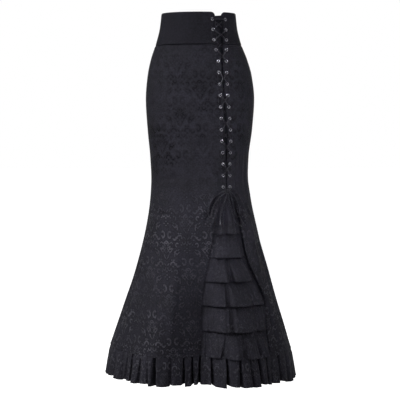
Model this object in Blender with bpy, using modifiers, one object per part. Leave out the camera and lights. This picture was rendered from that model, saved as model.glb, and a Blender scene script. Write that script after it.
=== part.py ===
"""A floor-length mermaid skirt: a high waistband, a fitted body that flares below the knee, a laced
opening left of the wearer's centre front, a godet of flounces in the slit below it and a gathered hem.

Metres, +Z up. The front faces -Y, +X is the viewer's right. The origin is the centre of the
waistband at half its height. An angle is measured round the skirt from the front towards +X, and
every cloth point is an angle, a height and a distance out from the fitted form.
"""

import math
from collections import namedtuple

import bmesh
import bpy
from mathutils import Matrix, Vector

# Cloth
CLOTH = 0.0015
BAND_CLOTH = 0.0024
TOUCH_GAP = 0.0003
SEAM_GAP = 0.0006  # at the outer face: a seam on a round form closes up to 0.3 mm inside
BAND_SEAM_GAP = 0.0010
LAYER_GAP = 0.0010
GATHER_GAP = 0.0004
GODET_HEM_GAP = 0.0009

# The fitted form, one row for each section of the figure it is cut for
Section = namedtuple("Section", "height half_width front_depth back_depth centre_x")
FORM = (
    Section(0.044, 0.1105, 0.084, 0.088, -0.0045),
    Section(0.000, 0.1150, 0.087, 0.092, -0.0045),
    Section(-0.047, 0.1270, 0.093, 0.103, -0.0045),
    Section(-0.093, 0.1435, 0.100, 0.118, -0.0030),
    Section(-0.145, 0.1560, 0.106, 0.131, -0.0010),
    Section(-0.210, 0.1620, 0.109, 0.137, 0.0),
    Section(-0.300, 0.1565, 0.111, 0.128, -0.0005),
    Section(-0.380, 0.1475, 0.112, 0.117, -0.0018),
    Section(-0.440, 0.1450, 0.113, 0.114, -0.0012),
    Section(-0.505, 0.1505, 0.118, 0.120, 0.0015),
    Section(-0.615, 0.1710, 0.137, 0.148, 0.0045),
    Section(-0.723, 0.1985, 0.163, 0.186, 0.0040),
    Section(-0.831, 0.2320, 0.197, 0.231, 0.0010),
    Section(-0.948, 0.2710, 0.238, 0.281, 0.0),
    Section(-1.017, 0.2940, 0.262, 0.310, 0.0),
)

# The largest folds of the flare: how far each moves the cloth at the hem, and where it starts
Flute = namedtuple("Flute", "angle half_width depth start")
FLUTES = (
    Flute(2, 22, -0.060, -0.55),
    Flute(-14, 12, -0.010, -0.60),
    Flute(-29, 13, 0.014, -0.60),
    Flute(-54, 11, -0.006, -0.64),
    Flute(-71, 10, 0.004, -0.66),
    Flute(26, 12, 0.006, -0.60),
    Flute(51, 12, -0.011, -0.54),
    Flute(70, 10, 0.004, -0.62),
    Flute(115, 14, 0.006, -0.62),
    Flute(134, 15, -0.012, -0.58),
    Flute(158, 14, 0.009, -0.60),
    Flute(180, 13, -0.012, -0.56),
    Flute(-157, 15, 0.010, -0.58),
    Flute(-132, 15, -0.011, -0.60),
    Flute(-112, 12, 0.005, -0.64),
)

# Grid rows stand closer where the eyelets are
ROWS_UP = -0.45

# Seams
BAND_TOP = 0.043
BAND_SEAM = -0.0535
BAND_CORNER = 0.013
HEM_HEIGHT = -0.9535
HEM_LOWER_RIGHT = 0.0065
HEM_LOWER_FRONT = 0.0040
SIDE_SEAM = 90
CENTRE_BACK = 180

# The laced opening and the slit below it, seen from the front: the x of its two edges at each height
Edges = namedtuple("Edges", "height left right")
OPENING = (
    Edges(0.044, 0.0444, 0.0646),
    Edges(-0.040, 0.0509, 0.0681),
    Edges(-0.102, 0.0634, 0.0670),
    Edges(-0.200, 0.0690, 0.0716),
    Edges(-0.337, 0.0738, 0.0806),
    Edges(-0.404, 0.0772, 0.0784),
    Edges(-0.480, 0.0774, 0.0788),
    Edges(-0.508, 0.0614, 0.0950),
    Edges(-0.569, 0.0466, 0.1160),
    Edges(-0.608, 0.0378, 0.1260),
    Edges(-0.674, 0.0275, 0.1400),
    Edges(-0.744, 0.0144, 0.1719),
    Edges(-0.814, 0.0040, 0.1990),
    Edges(-0.886, 0.0050, 0.2040),
    Edges(-0.960, 0.0000, 0.2160),
)
SLIT_TOP = -0.480

# Eyelets
BAND_ROWS = 3
BODY_ROWS = 13
FIRST_BAND_ROW = 0.0209
LAST_BAND_ROW = -0.0397
FIRST_BODY_ROW = -0.0690
LAST_BODY_ROW = -0.4700
EYELET_INSET = 0.0106
EYELET_BORE = 0.0026
EYELET_BARREL = 0.0032
EYELET_HOLE = 0.0038
EYELET_FLANGE = 0.0048
EYELET_WASHER = 0.0047
EYELET_STEPS = 8
EYELET_HEAD = 0.0010
EYELET_CLEARANCE = 0.0004
EYELET_DRILL = 0.012
WASHER_CLEARANCE = 0.0009
WASHER_THICKNESS = 0.0006

# Cord
LACE = 0.0030
LACE_GAP = 0.00035
LACE_OVER_HEAD = 0.0030
LACE_BEHIND_WASHER = 0.0054
LACE_NEAR_CLOTH = 0.0020
LACE_NEAR_LINING = 0.0042
RUN_END = 0.13
LACE_MEETS_KNOT = (0.0068, 0.0030, 0.0040)

# The cloth behind the lacing and in the slit
UNDERLAY_TOP = 0.029
UNDERLAY_DEPTH = 0.0100
UNDERLAY_PAST_EYELET = 0.014
UNDERLAY_ABOVE_SLIT = 0.004
UNDERLAY_RISE_FROM = 0.75
BASE_DEPTH = 0.0165
BASE_DEPTH_SIDE = 0.0100
BASE_DEEPENS = 0.045
LEFT_FORWARD_FROM = -0.59
RIGHT_FORWARD_FROM = -0.79
BASE_FORWARD_OVER = 0.07
BASE_COLUMNS = 24
BASE_ROWS = 24
BASE_TUCK = 0.010
BASE_FLAP = 0.008
TIER_TUCK = 0.008
TIER_BELOW_SLIT_TOP = 0.002
TIER_GAP = 0.0025
TIER_OVERLAP = 0.011
TIER_LIFT_AT_EDGE = 0.0026
TIER_LIFT_WIDTH = 0.028
TIER_SWELL = 0.8

# Flounces of the godet: where each ends, and how far its lower edge stands off
Tier = namedtuple("Tier", "bottom lift columns")
TIERS = (
    Tier(-0.6080, 0.0105, 12),
    Tier(-0.6747, 0.0145, 12),
    Tier(-0.7441, 0.0165, 18),
    Tier(-0.8131, 0.0170, 20),
    Tier(-0.8851, 0.0170, 22),
    Tier(-0.9530, 0.0155, 26),
)
TIER_ROWS = 3

# Folds of the flounces: place across from 0 to 1, half width across, movement at the lower edge
TierFold = namedtuple("TierFold", "tier across half_width depth")
TIER_FOLDS = (
    TierFold(1, 0.24, 0.14, 0.0030),
    TierFold(1, 0.40, 0.10, -0.0070),
    TierFold(1, 0.62, 0.12, 0.0035),
    TierFold(1, 0.78, 0.10, -0.0060),
    TierFold(2, 0.18, 0.10, -0.0060),
    TierFold(2, 0.50, 0.24, 0.0030),
    TierFold(2, 0.84, 0.10, -0.0060),
    TierFold(3, 0.20, 0.10, -0.0070),
    TierFold(3, 0.33, 0.12, 0.0050),
    TierFold(3, 0.45, 0.06, -0.0130),
    TierFold(3, 0.66, 0.18, 0.0040),
    TierFold(3, 0.86, 0.08, -0.0070),
    TierFold(4, 0.14, 0.08, -0.0060),
    TierFold(4, 0.26, 0.10, 0.0045),
    TierFold(4, 0.37, 0.06, -0.0125),
    TierFold(4, 0.54, 0.16, 0.0045),
    TierFold(4, 0.70, 0.07, -0.0065),
    TierFold(4, 0.82, 0.08, 0.0030),
    TierFold(5, 0.17, 0.08, -0.0065),
    TierFold(5, 0.29, 0.10, 0.0055),
    TierFold(5, 0.40, 0.05, -0.0140),
    TierFold(5, 0.56, 0.14, 0.0050),
    TierFold(5, 0.74, 0.07, -0.0070),
    TierFold(5, 0.85, 0.06, 0.0035),
    TierFold(6, 0.12, 0.06, -0.0075),
    TierFold(6, 0.21, 0.07, 0.0050),
    TierFold(6, 0.33, 0.05, -0.0110),
    TierFold(6, 0.44, 0.08, 0.0050),
    TierFold(6, 0.55, 0.05, -0.0100),
    TierFold(6, 0.65, 0.09, 0.0045),
    TierFold(6, 0.76, 0.05, -0.0100),
    TierFold(6, 0.87, 0.06, 0.0035),
)

# Hem ruffle: the angles of its troughs across the front, then evenly uneven round the back
RUFFLE_FALL = 0.079
RUFFLE_FLARE = 0.008
RUFFLE_RIDGE = 0.008
RUFFLE_TROUGH = -0.008
RUFFLE_GATHER = 0.16
RUFFLE_ROUNDNESS = 0.8
RUFFLE_FULL_FOLD = 8  # degrees: a narrower fold is as much shallower
RUFFLE_COLUMNS = 4
RUFFLE_ROWS = 2
RUFFLE_GODET_SET_BACK = 0.003
FRONT_TROUGHS = (
    -90, -81, -73, -65, -57, -49.5, -44, -38, -32, -26.5, -18.5, -11, -5,
    0, 8, 16.8, 24, 31.5, 40, 45.5, 51.5, 58, 66, 74, 82, 90,
)  # fmt: skip
BACK_TROUGHS = 11
BACK_TROUGH_SWAY = 2.2

# Bow: routes from the knot, as distance across, drop and distance out
KNOT_DROP = 0.0115
KNOT_SIZE = (0.0066, 0.0036, 0.0050)
KNOT_OUT = 0.0042
BOW_LOOP_LEFT = (
    (-0.0072, -0.0002, 0.0045), (-0.0200, -0.0035, 0.0055), (-0.0345, -0.0125, 0.0045),
    (-0.0480, -0.0265, 0.0028), (-0.0565, -0.0450, 0.0024), (-0.0600, -0.0620, 0.0024),
    (-0.0585, -0.0735, 0.0024), (-0.0530, -0.0700, 0.0024), (-0.0480, -0.0540, 0.0026),
    (-0.0405, -0.0360, 0.0040), (-0.0280, -0.0190, 0.0080), (-0.0150, -0.0090, 0.0065),
    (-0.0053, -0.0039, 0.0040),
)  # fmt: skip
BOW_LOOP_RIGHT = (
    (0.0072, -0.0008, 0.0045), (0.0160, -0.0080, 0.0050), (0.0260, -0.0240, 0.0040),
    (0.0320, -0.0440, 0.0030), (0.0330, -0.0620, 0.0026), (0.0280, -0.0740, 0.0026),
    (0.0205, -0.0755, 0.0026), (0.0160, -0.0660, 0.0026), (0.0150, -0.0480, 0.0026),
    (0.0120, -0.0280, 0.0026), (0.0085, -0.0120, 0.0032), (0.0053, -0.0040, 0.0040),
)  # fmt: skip
LACE_END_LEFT = (
    (-0.0022, -0.0054, 0.0038), (-0.0070, -0.0190, 0.0026), (-0.0150, -0.0360, 0.0024),
    (-0.0235, -0.0560, 0.0024), (-0.0285, -0.0740, 0.0026), (-0.0300, -0.0860, 0.0028),
)  # fmt: skip
LACE_END_RIGHT = (
    (0.0016, -0.0056, 0.0038), (0.0024, -0.0230, 0.0028), (0.0058, -0.0460, 0.0030),
    (0.0078, -0.0640, 0.0034), (0.0092, -0.0810, 0.0040), (0.0140, -0.0925, 0.0044),
    (0.0215, -0.0985, 0.0044),
)  # fmt: skip
AGLET = 0.0042
AGLET_LENGTH = 0.0130
ROUTE_STEPS = 2

JACQUARD = ("black_jacquard", (0.030, 0.028, 0.038), 0.62, 0.0)
METAL = ("eyelet_metal", (0.55, 0.55, 0.58), 0.28, 1.0)
SATIN = ("black_satin_cord", (0.018, 0.017, 0.022), 0.38, 0.0)


def smooth(value):
    """0 below 0, 1 above 1, and a soft step between."""
    value = min(1.0, max(0.0, value))
    return value * value * (3 - 2 * value)


def mix(first, second, share):
    return first + (second - first) * share


def read(rows, field, height):
    """A column of a table at this height, on a curve that never overshoots its rows."""
    heights = [row.height for row in rows]
    values = [getattr(row, field) for row in rows]
    last = len(rows) - 1

    def rise(place):
        return (values[place + 1] - values[place]) / (heights[place + 1] - heights[place])

    def slope(place):
        if place == 0:
            return rise(0)
        if place == last:
            return rise(last - 1)
        before, after = rise(place - 1), rise(place)
        if before * after <= 0:
            return 0.0
        return 2 * before * after / (before + after)

    if height >= heights[0]:
        return values[0] + rise(0) * (height - heights[0])
    if height <= heights[last]:
        return values[last] + rise(last - 1) * (height - heights[last])
    place = next(k for k in range(last) if height >= heights[k + 1])
    span = heights[place + 1] - heights[place]
    share = (height - heights[place]) / span
    bulge = share * share * (3 - 2 * share)
    start = share * (1 - share) ** 2 * span * slope(place)
    end = share * share * (share - 1) * span * slope(place + 1)
    return mix(values[place], values[place + 1], bulge) + start + end


def fluting(angle, height):
    """How far the folds of the flare move the cloth out."""
    total = 0.0
    for flute in FLUTES:
        away = abs((math.degrees(angle) - flute.angle + 180) % 360 - 180) / flute.half_width
        growth = smooth((flute.start - height) / (flute.start - HEM_HEIGHT))
        total += flute.depth * growth * (1 - smooth(away))
    return total


def form_point(angle, height):
    depth = read(FORM, "front_depth" if math.cos(angle) > 0 else "back_depth", height)
    across = read(FORM, "centre_x", height) + read(FORM, "half_width", height) * math.sin(angle)
    return Vector((across, -depth * math.cos(angle), height))


def girth_rate(angle, height):
    """Metres of cloth for each radian round the form."""
    step = 0.001
    return (form_point(angle + step, height) - form_point(angle - step, height)).length / (2 * step)


def normal_at(angle, height):
    step = 0.001
    around = form_point(angle + step, height) - form_point(angle - step, height)
    up = form_point(angle, height + step) - form_point(angle, height - step)
    return around.cross(up).normalized()


def outward(angle, height):
    """The level direction that points straight out of the cloth."""
    direction = normal_at(angle, height)
    direction.z = 0
    return direction.normalized()


def skin(angle, height, out=0.0):
    """The point of the skirt's outer face at this angle and height, moved out on the level."""
    return form_point(angle, height) + outward(angle, height) * (out + fluting(angle, height))


def angle_of_x(x, height):
    share = (x - read(FORM, "centre_x", height)) / read(FORM, "half_width", height)
    return math.asin(share)


def opening_edge(side, height):
    """The angle of the opening's edge: side is -1 for the front panel and 1 for the side front."""
    return angle_of_x(read(OPENING, "left" if side < 0 else "right", height), height)


def hem_height(angle):
    lean = HEM_LOWER_RIGHT * math.sin(angle) + HEM_LOWER_FRONT * math.cos(angle)
    return HEM_HEIGHT - lean


def collection(name):
    made = bpy.data.collections.new(name)
    bpy.context.scene.collection.children.link(made)
    return made


def material(name, colour, roughness, metallic):
    made = bpy.data.materials.new(name)
    made.use_nodes = True
    shader = made.node_tree.nodes["Principled BSDF"]
    shader.inputs["Base Color"].default_value = (*colour, 1.0)
    shader.inputs["Roughness"].default_value = roughness
    shader.inputs["Metallic"].default_value = metallic
    return made


def add_object(name, data, look, place):
    made = bpy.data.objects.new(name, data)
    if look:
        data.materials.append(look)
    place.objects.link(made)
    return made


def cloth_wall(name, columns, rows, place, thickness, look, parts):
    """A grid laid where place(across, down) says, both from 0 to 1, and given its thickness inward."""
    mesh = bpy.data.meshes.new(name)
    grid = bmesh.new()
    bmesh.ops.create_grid(grid, x_segments=columns, y_segments=rows, size=0.5)
    for vertex in grid.verts:
        vertex.co = place(vertex.co.x + 0.5, 0.5 - vertex.co.y)
    grid.to_mesh(mesh)
    grid.free()
    wall = add_object(name, mesh, look, parts)
    solidify = wall.modifiers.new("Thickness", "SOLIDIFY")
    solidify.thickness = thickness
    solidify.offset = -1
    mesh.shade_smooth()
    return wall


def crowded(share, crowd):
    """Moves grid lines closer to each other towards the end, or where crowd is below 0 the start."""
    return share + crowd * share * (1 - share)


def panel_place(left, right, top, bottom, crowd=0.0, crowd_rows=0.0, gap=SEAM_GAP):
    """Where a panel's grid lies between its two edges and its two ends, with the seam gap taken off."""

    def place(across, down):
        across, down = crowded(across, crowd), crowded(down, crowd_rows)
        height = mix(top(0), bottom(0), down)
        angle = 0.0
        for _ in range(3):
            inset = gap / 2 / girth_rate(angle, height)
            angle = mix(left(height) + inset, right(height) - inset, across)
            height = mix(top(angle) - SEAM_GAP / 2, bottom(angle) + SEAM_GAP / 2, down)
        return skin(angle, height)

    return place


def fixed(degrees):
    return lambda height: math.radians(degrees)


def level(height):
    return lambda angle: height


def band_top(side):
    """The waistband's top edge, rounded down to the opening on that side."""

    def top(angle):
        edge = opening_edge(side, BAND_TOP)
        away = side * (angle - edge) * girth_rate(edge, BAND_TOP)
        away = min(BAND_CORNER, max(0.0, away))
        return BAND_TOP - BAND_CORNER + math.sqrt(BAND_CORNER**2 - (BAND_CORNER - away) ** 2)

    return top


def make_waistband(cloth, parts):
    seam = level(BAND_SEAM)
    front = panel_place(
        fixed(-SIDE_SEAM), lambda h: opening_edge(-1, h), band_top(-1), seam, 0.6, gap=BAND_SEAM_GAP
    )
    side = panel_place(
        lambda h: opening_edge(1, h), fixed(SIDE_SEAM), band_top(1), seam, -0.7, gap=BAND_SEAM_GAP
    )
    back = panel_place(
        fixed(SIDE_SEAM), fixed(360 - SIDE_SEAM), level(BAND_TOP), seam, gap=BAND_SEAM_GAP
    )
    return {
        -1: cloth_wall("waistband_front", 16, 4, front, BAND_CLOTH, cloth, parts),
        1: cloth_wall("waistband_side_front", 8, 4, side, BAND_CLOTH, cloth, parts),
        0: cloth_wall("waistband_back", 20, 2, back, BAND_CLOTH, cloth, parts),
    }


def make_body(cloth, parts):
    seam = level(BAND_SEAM)
    front = panel_place(
        fixed(-SIDE_SEAM), lambda h: opening_edge(-1, h), seam, hem_height, 0.3, ROWS_UP
    )
    side = panel_place(
        lambda h: opening_edge(1, h), fixed(SIDE_SEAM), seam, hem_height, -0.2, ROWS_UP
    )
    right = panel_place(fixed(SIDE_SEAM), fixed(CENTRE_BACK), seam, hem_height)
    left = panel_place(fixed(-CENTRE_BACK), fixed(-SIDE_SEAM), seam, hem_height)
    cloth_wall("back_panel_right", 10, 14, right, CLOTH, cloth, parts)
    cloth_wall("back_panel_left", 10, 14, left, CLOTH, cloth, parts)
    return {
        -1: cloth_wall("front_panel", 26, 20, front, CLOTH, cloth, parts),
        1: cloth_wall("side_front_panel", 7, 18, side, CLOTH, cloth, parts),
    }


def row_heights():
    """The height of each row of eyelets, from the top."""
    band = [
        mix(FIRST_BAND_ROW, LAST_BAND_ROW, row / (BAND_ROWS - 1)) for row in range(BAND_ROWS)
    ]
    body = [
        mix(FIRST_BODY_ROW, LAST_BODY_ROW, row / (BODY_ROWS - 1)) for row in range(BODY_ROWS)
    ]
    return band + body


def eyelet_angle(side, height):
    edge = opening_edge(side, height)
    return edge + side * EYELET_INSET / girth_rate(edge, height)


def eyelet_frame(side, height):
    """The matrix of an eyelet: its Z axis points out of the cloth."""
    angle = eyelet_angle(side, height)
    out = normal_at(angle, height)
    across = Vector((0, 0, 1)).cross(out).normalized()
    turned = Matrix((across, out.cross(across), out)).transposed().to_4x4()
    return Matrix.Translation(skin(angle, height)) @ turned


def eyelet_mesh(name, wall, metal):
    """An eyelet's section: head, barrel through the cloth and washer behind it."""
    washer_top = -wall - WASHER_CLEARANCE
    washer_bottom = washer_top - WASHER_THICKNESS
    section = (
        (EYELET_BORE, EYELET_HEAD),
        (EYELET_FLANGE, EYELET_CLEARANCE),
        (EYELET_BARREL, EYELET_CLEARANCE),
        (EYELET_BARREL, washer_top),
        (EYELET_WASHER, washer_top),
        (EYELET_BORE, washer_bottom),
    )
    mesh = bpy.data.meshes.new(name)
    count = len(section)
    edges = [(place, (place + 1) % count) for place in range(count)]
    mesh.from_pydata([(radius, 0, rise) for radius, rise in section], edges, [])
    mesh.materials.append(metal)
    return mesh


def make_eyelets(metal, parts, cutters, pieces):
    """The 32 eyelets, and the holes for them in the four pieces beside the opening."""
    meshes = {
        "band": eyelet_mesh("eyelet_band", BAND_CLOTH, metal),
        "body": eyelet_mesh("eyelet_body", CLOTH, metal),
    }
    holes = {}
    for row, height in enumerate(row_heights(), start=1):
        kind = "band" if row <= BAND_ROWS else "body"
        for side, side_name in ((-1, "left"), (1, "right")):
            frame = eyelet_frame(side, height)
            eyelet = add_object(f"eyelet_{side_name}_{row:02d}", meshes[kind], None, parts)
            eyelet.matrix_world = frame
            screw = eyelet.modifiers.new("Turn", "SCREW")
            screw.steps = EYELET_STEPS
            screw.render_steps = EYELET_STEPS
            screw.use_merge_vertices = True
            screw.merge_threshold = 0.00001
            holes.setdefault((kind, side), []).append(frame)
    for (kind, side), frames in holes.items():
        drill = add_object(f"holes_{kind}_{side}", hole_mesh(frames), None, cutters)
        drill.hide_render = True
        drill.display_type = "WIRE"
        cut = pieces[kind][side].modifiers.new("Eyelet holes", "BOOLEAN")
        cut.operation = "DIFFERENCE"
        cut.object = drill


def hole_mesh(frames):
    drill = bmesh.new()
    for frame in frames:
        bmesh.ops.create_cone(
            drill, cap_ends=True, segments=EYELET_STEPS, radius1=EYELET_HOLE, radius2=EYELET_HOLE,
            depth=EYELET_DRILL, matrix=frame,
        )  # fmt: skip
    mesh = bpy.data.meshes.new("holes")
    drill.to_mesh(mesh)
    drill.free()
    return mesh


def make_underlay(cloth, parts):
    """The strip behind the lacing: it hangs clear of the cord and rises to the panels at its sides."""

    def place(across, down):
        height = mix(UNDERLAY_TOP, SLIT_TOP + UNDERLAY_ABOVE_SLIT, down)
        left, right = opening_edge(-1, height), opening_edge(1, height)
        rate = girth_rate(left, height)
        reach = (right - left) * rate / 2 + EYELET_INSET + UNDERLAY_PAST_EYELET
        aside = 2 * across - 1
        at_panel = BAND_CLOTH + LAYER_GAP
        rise = smooth((abs(aside) - UNDERLAY_RISE_FROM) / (1 - UNDERLAY_RISE_FROM))
        depth = mix(UNDERLAY_DEPTH, at_panel, rise)
        return skin((left + right) / 2 + aside * reach / rate, height, -depth)

    cloth_wall("lacing_underlay", 8, 12, place, CLOTH, cloth, parts)


def slit_span(height):
    """The angles of the slit's two edges, closed above its top."""
    height = min(height, SLIT_TOP)
    return opening_edge(-1, height), opening_edge(1, height)


def base_depth(angle, height):
    """How far behind the panels the godet's base hangs: it comes forward at its sides, on the right lower down."""
    left, right = slit_span(height)
    rate = girth_rate(left, height)
    forward = 0.0
    for into, start in (
        ((angle - left) * rate, LEFT_FORWARD_FROM),
        ((right - angle) * rate, RIGHT_FORWARD_FROM),
    ):
        forward += smooth((start - height) / BASE_FORWARD_OVER) * (1 - smooth(into / BASE_DEEPENS))
    return mix(BASE_DEPTH, BASE_DEPTH_SIDE, forward)


def make_godet(cloth, parts):
    def base(across, down):
        """Behind the flounces, with a flap at each side that rises to the panel it is sewn to."""
        height = mix(SLIT_TOP, hem_height(math.radians(30)) + GODET_HEM_GAP, down)
        left, right = slit_span(height)
        rate = girth_rate((left + right) / 2, height)
        column = across * BASE_COLUMNS
        flap = max(0, column - BASE_COLUMNS + 1) - max(0, 1 - column)
        behind = min(1.0, max(0.0, (column - 1) / (BASE_COLUMNS - 2)))
        angle = mix(left - BASE_TUCK / rate, right + BASE_TUCK / rate, behind)
        angle += flap * BASE_FLAP / rate
        height = mix(SLIT_TOP, hem_height(angle) + GODET_HEM_GAP, down)
        depth = mix(base_depth(angle, height), CLOTH + LAYER_GAP, abs(flap))
        return skin(angle, height, -depth)

    cloth_wall("godet_base", BASE_COLUMNS, BASE_ROWS, base, CLOTH, cloth, parts)
    top = SLIT_TOP - TIER_BELOW_SLIT_TOP
    for number, tier in enumerate(TIERS, start=1):
        place = tier_place(number, tier, top)
        cloth_wall(f"tier_{number}", tier.columns, TIER_ROWS, place, CLOTH, cloth, parts)
        top = tier.bottom + TIER_OVERLAP


def tier_place(number, tier, top):
    folds = [fold for fold in TIER_FOLDS if fold.tier == number]
    last = number == len(TIERS)
    covered = TIER_OVERLAP / (top - tier.bottom)

    def place(across, down):
        free = max(0.0, (down * TIER_ROWS - 1) / (TIER_ROWS - 1))
        down = covered * min(1.0, down * TIER_ROWS) + (1 - covered) * free
        height = mix(top, tier.bottom, down)
        left, right = slit_span(height)
        rate = girth_rate((left + right) / 2, height)
        angle = mix(left - TIER_TUCK / rate, right + TIER_TUCK / rate, across)
        if last:
            height = mix(top, hem_height(angle) + GODET_HEM_GAP, down)
        into = min(angle - left, right - angle) * rate
        open_share = smooth(into / TIER_LIFT_WIDTH)
        lift = mix(TIER_LIFT_AT_EDGE, tier.lift, open_share)
        for fold in folds:
            away = abs(across - fold.across) / fold.half_width
            lift += fold.depth * open_share * (1 - smooth(away))
        at_base = base_depth(angle, height) - TIER_GAP - CLOTH
        return skin(angle, height, max(lift, TIER_LIFT_AT_EDGE) * free**TIER_SWELL - at_base)

    return place


def ruffle_troughs():
    """The angle in degrees of every trough of the hem ruffle, once round from the left side seam."""
    back = []
    for half in (0, 1):
        for step in range(1, BACK_TROUGHS + 1):
            even = SIDE_SEAM * step / BACK_TROUGHS
            sway = 0 if step == BACK_TROUGHS else BACK_TROUGH_SWAY * math.sin(2.4 * step + 4 * half)
            back.append(SIDE_SEAM * (1 + half) + even + sway)
    return list(FRONT_TROUGHS) + back


def godet_share(angle):
    """1 in the middle of the slit at the hem, 0 outside it."""
    left, right = slit_span(HEM_HEIGHT)
    rate = girth_rate((left + right) / 2, HEM_HEIGHT)
    return smooth(min(angle - left, right - angle) * rate / TIER_LIFT_WIDTH)


def ruffle_place(troughs):
    """One strip of the ruffle, from its first trough to its last."""
    gaps = len(troughs) - 1

    def place(across, down):
        place_on = across * gaps
        gap = min(int(place_on), gaps - 1)
        share = place_on - gap
        angle = math.radians(mix(troughs[gap], troughs[gap + 1], share))
        inset = SEAM_GAP / 2 / girth_rate(angle, HEM_HEIGHT)
        angle += inset * (1 - 2 * across)
        wave = mix(RUFFLE_TROUGH, RUFFLE_RIDGE, math.sin(math.pi * share) ** RUFFLE_ROUNDNESS)
        narrow = min(1.0, (troughs[gap + 1] - troughs[gap]) / RUFFLE_FULL_FOLD)
        wave *= narrow * mix(RUFFLE_GATHER, 1.0, down)
        top = skin(angle, hem_height(angle) - GATHER_GAP)
        set_back = RUFFLE_GODET_SET_BACK * godet_share(angle)
        move = wave + RUFFLE_FLARE * down - set_back
        fall = Vector((0, 0, RUFFLE_FALL * down))
        return top + outward(angle, HEM_HEIGHT) * move - fall

    return place


def make_hem_ruffle(cloth, parts):
    troughs = ruffle_troughs()
    front_end = len(FRONT_TROUGHS) - 1
    back_middle = front_end + BACK_TROUGHS
    strips = (
        ("hem_ruffle_front", troughs[: front_end + 1]),
        ("hem_ruffle_back_right", troughs[front_end : back_middle + 1]),
        ("hem_ruffle_back_left", troughs[back_middle:]),
    )
    for name, angles in strips:
        columns = RUFFLE_COLUMNS * (len(angles) - 1)
        cloth_wall(name, columns, RUFFLE_ROWS, ruffle_place(angles), CLOTH, cloth, parts)


def lace_run(start, end, outs):
    """Points from over one eyelet to over the next, each an angle, a height and a distance out."""
    shares = (0.0, RUN_END, 0.5, 1 - RUN_END, 1.0)
    return [
        (mix(start[0], end[0], share), mix(start[1], end[1], share), out)
        for share, out in zip(shares, outs)
    ]


def half_lace(first_side):
    """The cord from the bar of the first row, through every row, out at the last."""
    heights = row_heights()
    side = first_side
    places = []
    for height in heights:
        places.append((eyelet_angle(side, height), height))
        side = -side
    over = LACE_NEAR_CLOTH + (LACE + LACE_GAP if first_side > 0 else 0)
    under = LACE_NEAR_LINING + (LACE + LACE_GAP if first_side > 0 else 0)
    front = (LACE_OVER_HEAD, LACE_OVER_HEAD, over, LACE_OVER_HEAD, LACE_OVER_HEAD)
    behind = [-LACE_BEHIND_WASHER] * 5
    behind[2] = -under
    route = [(*places[0], LACE_OVER_HEAD)]
    for row in range(len(places) - 1):
        outs = front if row % 2 else behind
        route += lace_run(places[row], places[row + 1], outs)
    route.append((*places[-1], LACE_OVER_HEAD))
    return route


def knot_place():
    height = LAST_BODY_ROW - KNOT_DROP
    left, right = opening_edge(-1, LAST_BODY_ROW), opening_edge(1, LAST_BODY_ROW)
    return (left + right) / 2, height


def from_knot(across, rise, out):
    angle, height = knot_place()
    return skin(angle + across / girth_rate(angle, height), height + rise, out)


def smooth_route(points, steps):
    """A curve through the points, with this many pieces between each two."""
    route = []
    count = len(points)
    for place in range(count - 1):
        before = points[max(0, place - 1)]
        start, end = points[place], points[place + 1]
        after = points[min(count - 1, place + 2)]
        for step in range(steps):
            share = step / steps
            route.append(
                0.5 * (
                    2 * start
                    + (end - before) * share
                    + (2 * before - 5 * start + 4 * end - after) * share**2
                    + (3 * start - before - 3 * end + after) * share**3
                )
            )  # fmt: skip
    route.append(points[-1])
    return route


def cord(name, route, diameter, look, parts):
    """A tube along the route, with closed ends."""
    curve = bpy.data.curves.new(name, "CURVE")
    curve.dimensions = "3D"
    curve.bevel_depth = diameter / 2
    curve.bevel_resolution = 2
    curve.use_fill_caps = True
    spline = curve.splines.new("POLY")
    spline.points.add(len(route) - 1)
    for point, place in zip(spline.points, route):
        point.co = (*place, 1)
    return add_object(name, curve, look, parts)


def make_lace(satin, parts):
    """The laced stretch, from the knot up one side, across the top bar and down the other."""
    left, right = half_lace(-1), half_lace(1)
    knot_angle, knot_height = knot_place()
    ends = []
    for side in (1, -1):
        across, rise, out = LACE_MEETS_KNOT
        turn = side * across / girth_rate(knot_angle, knot_height)
        ends.append((knot_angle + turn, knot_height + rise, out))
    places = [ends[0]] + left[::-1] + right + [ends[1]]
    cord("lace", [skin(*place) for place in places], LACE, satin, parts)


def make_bow(satin, metal, parts):
    mesh = bpy.data.meshes.new("bow_knot")
    lump = bmesh.new()
    bmesh.ops.create_uvsphere(lump, u_segments=10, v_segments=6, radius=1.0)
    lump.to_mesh(mesh)
    lump.free()
    mesh.shade_smooth()
    knot = add_object("bow_knot", mesh, satin, parts)
    angle, height = knot_place()
    out = normal_at(angle, height)
    across = Vector((0, 0, 1)).cross(out).normalized()
    turned = Matrix((across, -out, across.cross(-out))).transposed().to_4x4()
    scale = Matrix.Diagonal((*KNOT_SIZE, 1))
    knot.matrix_world = Matrix.Translation(from_knot(0, 0, KNOT_OUT)) @ turned @ scale
    for name, route in (("bow_loop_left", BOW_LOOP_LEFT), ("bow_loop_right", BOW_LOOP_RIGHT)):
        cord(name, smooth_route([from_knot(*p) for p in route], ROUTE_STEPS), LACE, satin, parts)
    for side, route in (("left", LACE_END_LEFT), ("right", LACE_END_RIGHT)):
        line = smooth_route([from_knot(*p) for p in route], ROUTE_STEPS)
        cord(f"lace_end_{side}", line, LACE, satin, parts)
        along = (line[-1] - line[-2]).normalized()
        start = line[-1] + along * TOUCH_GAP
        cord(f"aglet_{side}", [start, start + along * AGLET_LENGTH], AGLET, metal, parts)


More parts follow.
